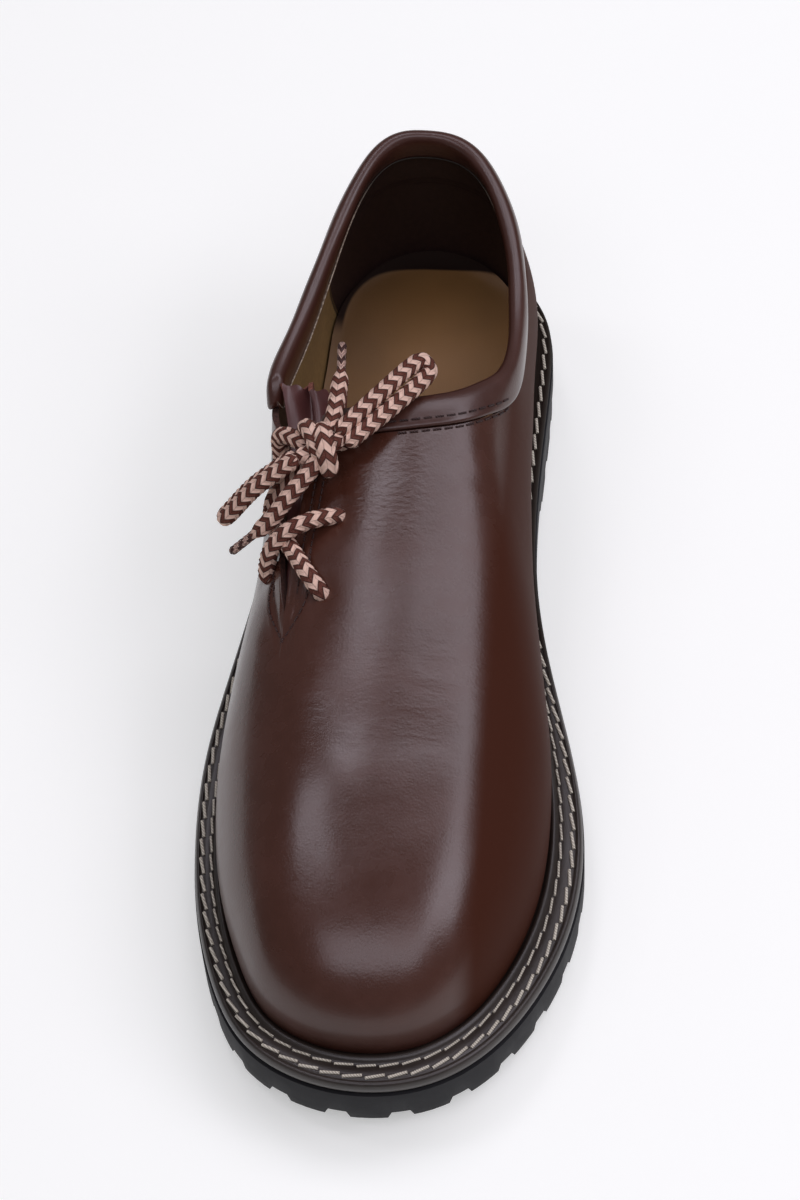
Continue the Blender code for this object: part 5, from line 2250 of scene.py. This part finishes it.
    def build(self) -> None:
        """Build every stretch of the lace."""
        low, middle, high = HOLES
        bars = [
            self.bar(low[:2], middle[2:], 0.0),
            self.bar(middle[:2], low[2:], self.cross_lift),
            self.bar(middle[2:], high[:2], self.rest_lift),
            self.feeder(high[2:]),
        ]
        thick = [self.diameter] * len(bars)
        settle(self.tube("lace_bars", bars, thick, Palette.BRAID), "lace", "lace_crossings")
        wraps = [smooth_route(np.add(wrap, KNOT_CENTRE), self.spacing) for wrap in KNOT_WRAPS]
        thick = [self.wrap_diameter, self.diameter, self.diameter]
        settle(self.tube("lace_bow_knot", wraps, thick, Palette.BRAID), "lace", "lace_knot")
        for name, line in LOOPS.items():
            self.add_cord("bow" + name[4:], self.loop_route(line), name, None)
        for (name, route), (aglet, tip) in zip(ENDS.items(), AGLETS.items()):
            tip_route = smooth_route([route[-1], *tip], self.spacing)
            cover = self.tube("tip" + aglet[5:], [tip_route], [self.tip_diameter], Palette.TIP)
            settle(cover, "lace_tip", aglet)
            inside = np.add(KNOT_CENTRE, np.subtract(route[0], KNOT_CENTRE) * self.start_share)
            whole = smooth_route([inside, *route, *tip[1:]], self.spacing)
            self.add_cord("bow" + name[4:], whole, name, cover)

    def add_cord(self, name: str, route: Array, node: str, cover: Optional[Piece]) -> None:
        """Args:
            name: Name of the piece.
            route: Its middle line.
            node: The solid that it stands for.
            cover: The wrapped tip at its far end, if it has one.
        """
        drawn = self.tip_length if cover else 0.0
        piece = settle(self.tube(name, [route], [self.diameter], Palette.BRAID, drawn), "lace", node)


class SoftBox(NamedTuple):
    """A softbox that hangs level over the shoe, with its edges in metres."""

    name: str
    left: float
    right: float
    front: float
    back: float
    brightness: float


SOFTBOXES = tuple(SoftBox(*row) for row in (
    ("softbox_right", -0.05, 1.40, 0.27, 0.95, 2.6),
    ("softbox_left", -0.51, -0.20, 0.37, 0.95, 4.0),
    ("softbox_left_front", -0.38, -0.20, 0.27, 0.37, 5.2),
    ("softbox_far_left", -1.10, -0.50, 0.02, 0.25, 4.4),
    ("softbox_front", -0.75, 1.20, -1.22, -0.50, 2.0),
    ("softbox_far_right", 0.85, 2.20, -0.55, 0.25, 3.2),
))


@dataclass
class Studio:
    """Camera at the photo's angle, pale floor and soft light."""

    eye: Spot = (0.0891, -0.6189, 0.9340)
    aim: Spot = (-0.0010, 0.0030, 0.0420)
    photo_right: Spot = (0.9987, 0.0507, 0.003)
    lens: float = 112.0
    floor_half: float = 3.0
    floor_level: float = -0.05  # in millimetres, just under the tread
    near_clip: float = 0.05
    box_height: float = 1.5
    room_light: float = 0.15
    room_colour: Colour = (0.97, 0.98, 1.0)
    box_colour: Colour = (1.0, 0.95, 1.06)

    def build(self) -> None:
        """Set up the camera, the floor and the lights."""
        self.add_camera()
        self.add_floor()
        self.add_lights()

    def add_camera(self) -> None:
        """Aim the camera from the photo's place, level as the photo is."""
        eye = Vector(self.eye)
        ahead = (Vector(self.aim) - eye).normalized()
        right = Vector(self.photo_right)
        right = (right - ahead * right.dot(ahead)).normalized()
        up = right.cross(ahead)
        camera = bpy.data.objects.new("camera", bpy.data.cameras.new("camera"))
        camera.matrix_world = Matrix.Translation(eye) @ Matrix((right, up, -ahead)).transposed().to_4x4()
        camera.data.lens = self.lens
        camera.data.clip_start = self.near_clip
        bpy.context.scene.collection.objects.link(camera)
        bpy.context.scene.camera = camera

    def add_floor(self) -> None:
        """Lay the paper floor."""
        half = self.floor_half / MM
        corners = [(x * half, y * half, self.floor_level) for x, y in ((-1, -1), (1, -1), (1, 1), (-1, 1))]
        floor = add_piece("floor", np.array(corners), [(0, 1, 2, 3)])
        dress(floor, Palette.PAPER)

    def add_lights(self) -> None:
        """Hang the softboxes and set the room's light."""
        for box in SOFTBOXES:
            lamp = bpy.data.lights.new(box.name, "AREA")
            lamp.shape = "RECTANGLE"
            lamp.size = box.right - box.left
            lamp.size_y = box.back - box.front
            lamp.energy = box.brightness * math.pi * lamp.size * lamp.size_y
            lamp.color = self.box_colour
            light = bpy.data.objects.new(box.name, lamp)
            light.location = ((box.left + box.right) / 2, (box.front + box.back) / 2, self.box_height)
            bpy.context.scene.collection.objects.link(light)
        world = bpy.data.worlds.new("room")
        world.use_nodes = True
        world.node_tree.nodes["Background"].inputs["Color"].default_value = (*self.room_colour, 1.0)
        world.node_tree.nodes["Background"].inputs["Strength"].default_value = self.room_light
        bpy.context.scene.world = world
        bpy.context.scene.view_settings.view_transform = "Standard"


def main() -> None:
    """Build the shoe's pieces in order."""
    logging.basicConfig(level=logging.INFO, format="%(message)s")
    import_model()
    last = Last()
    Studio().build()
    Lace(last).build()
    upper = Upper(last)
    upper.build()
    upper.sew()
    band = CollarBand(last)
    band.build()
    band.sew()
    Tongue(last).build()
    Insole(last).build()
    welt = Welt(last)
    welt.build()
    welt.sew()
    sole = Sole(last)
    sole.build_sole()
    sole.build_heel()
    LOG.info("boxes written")


if __name__ == "__main__":
    main()
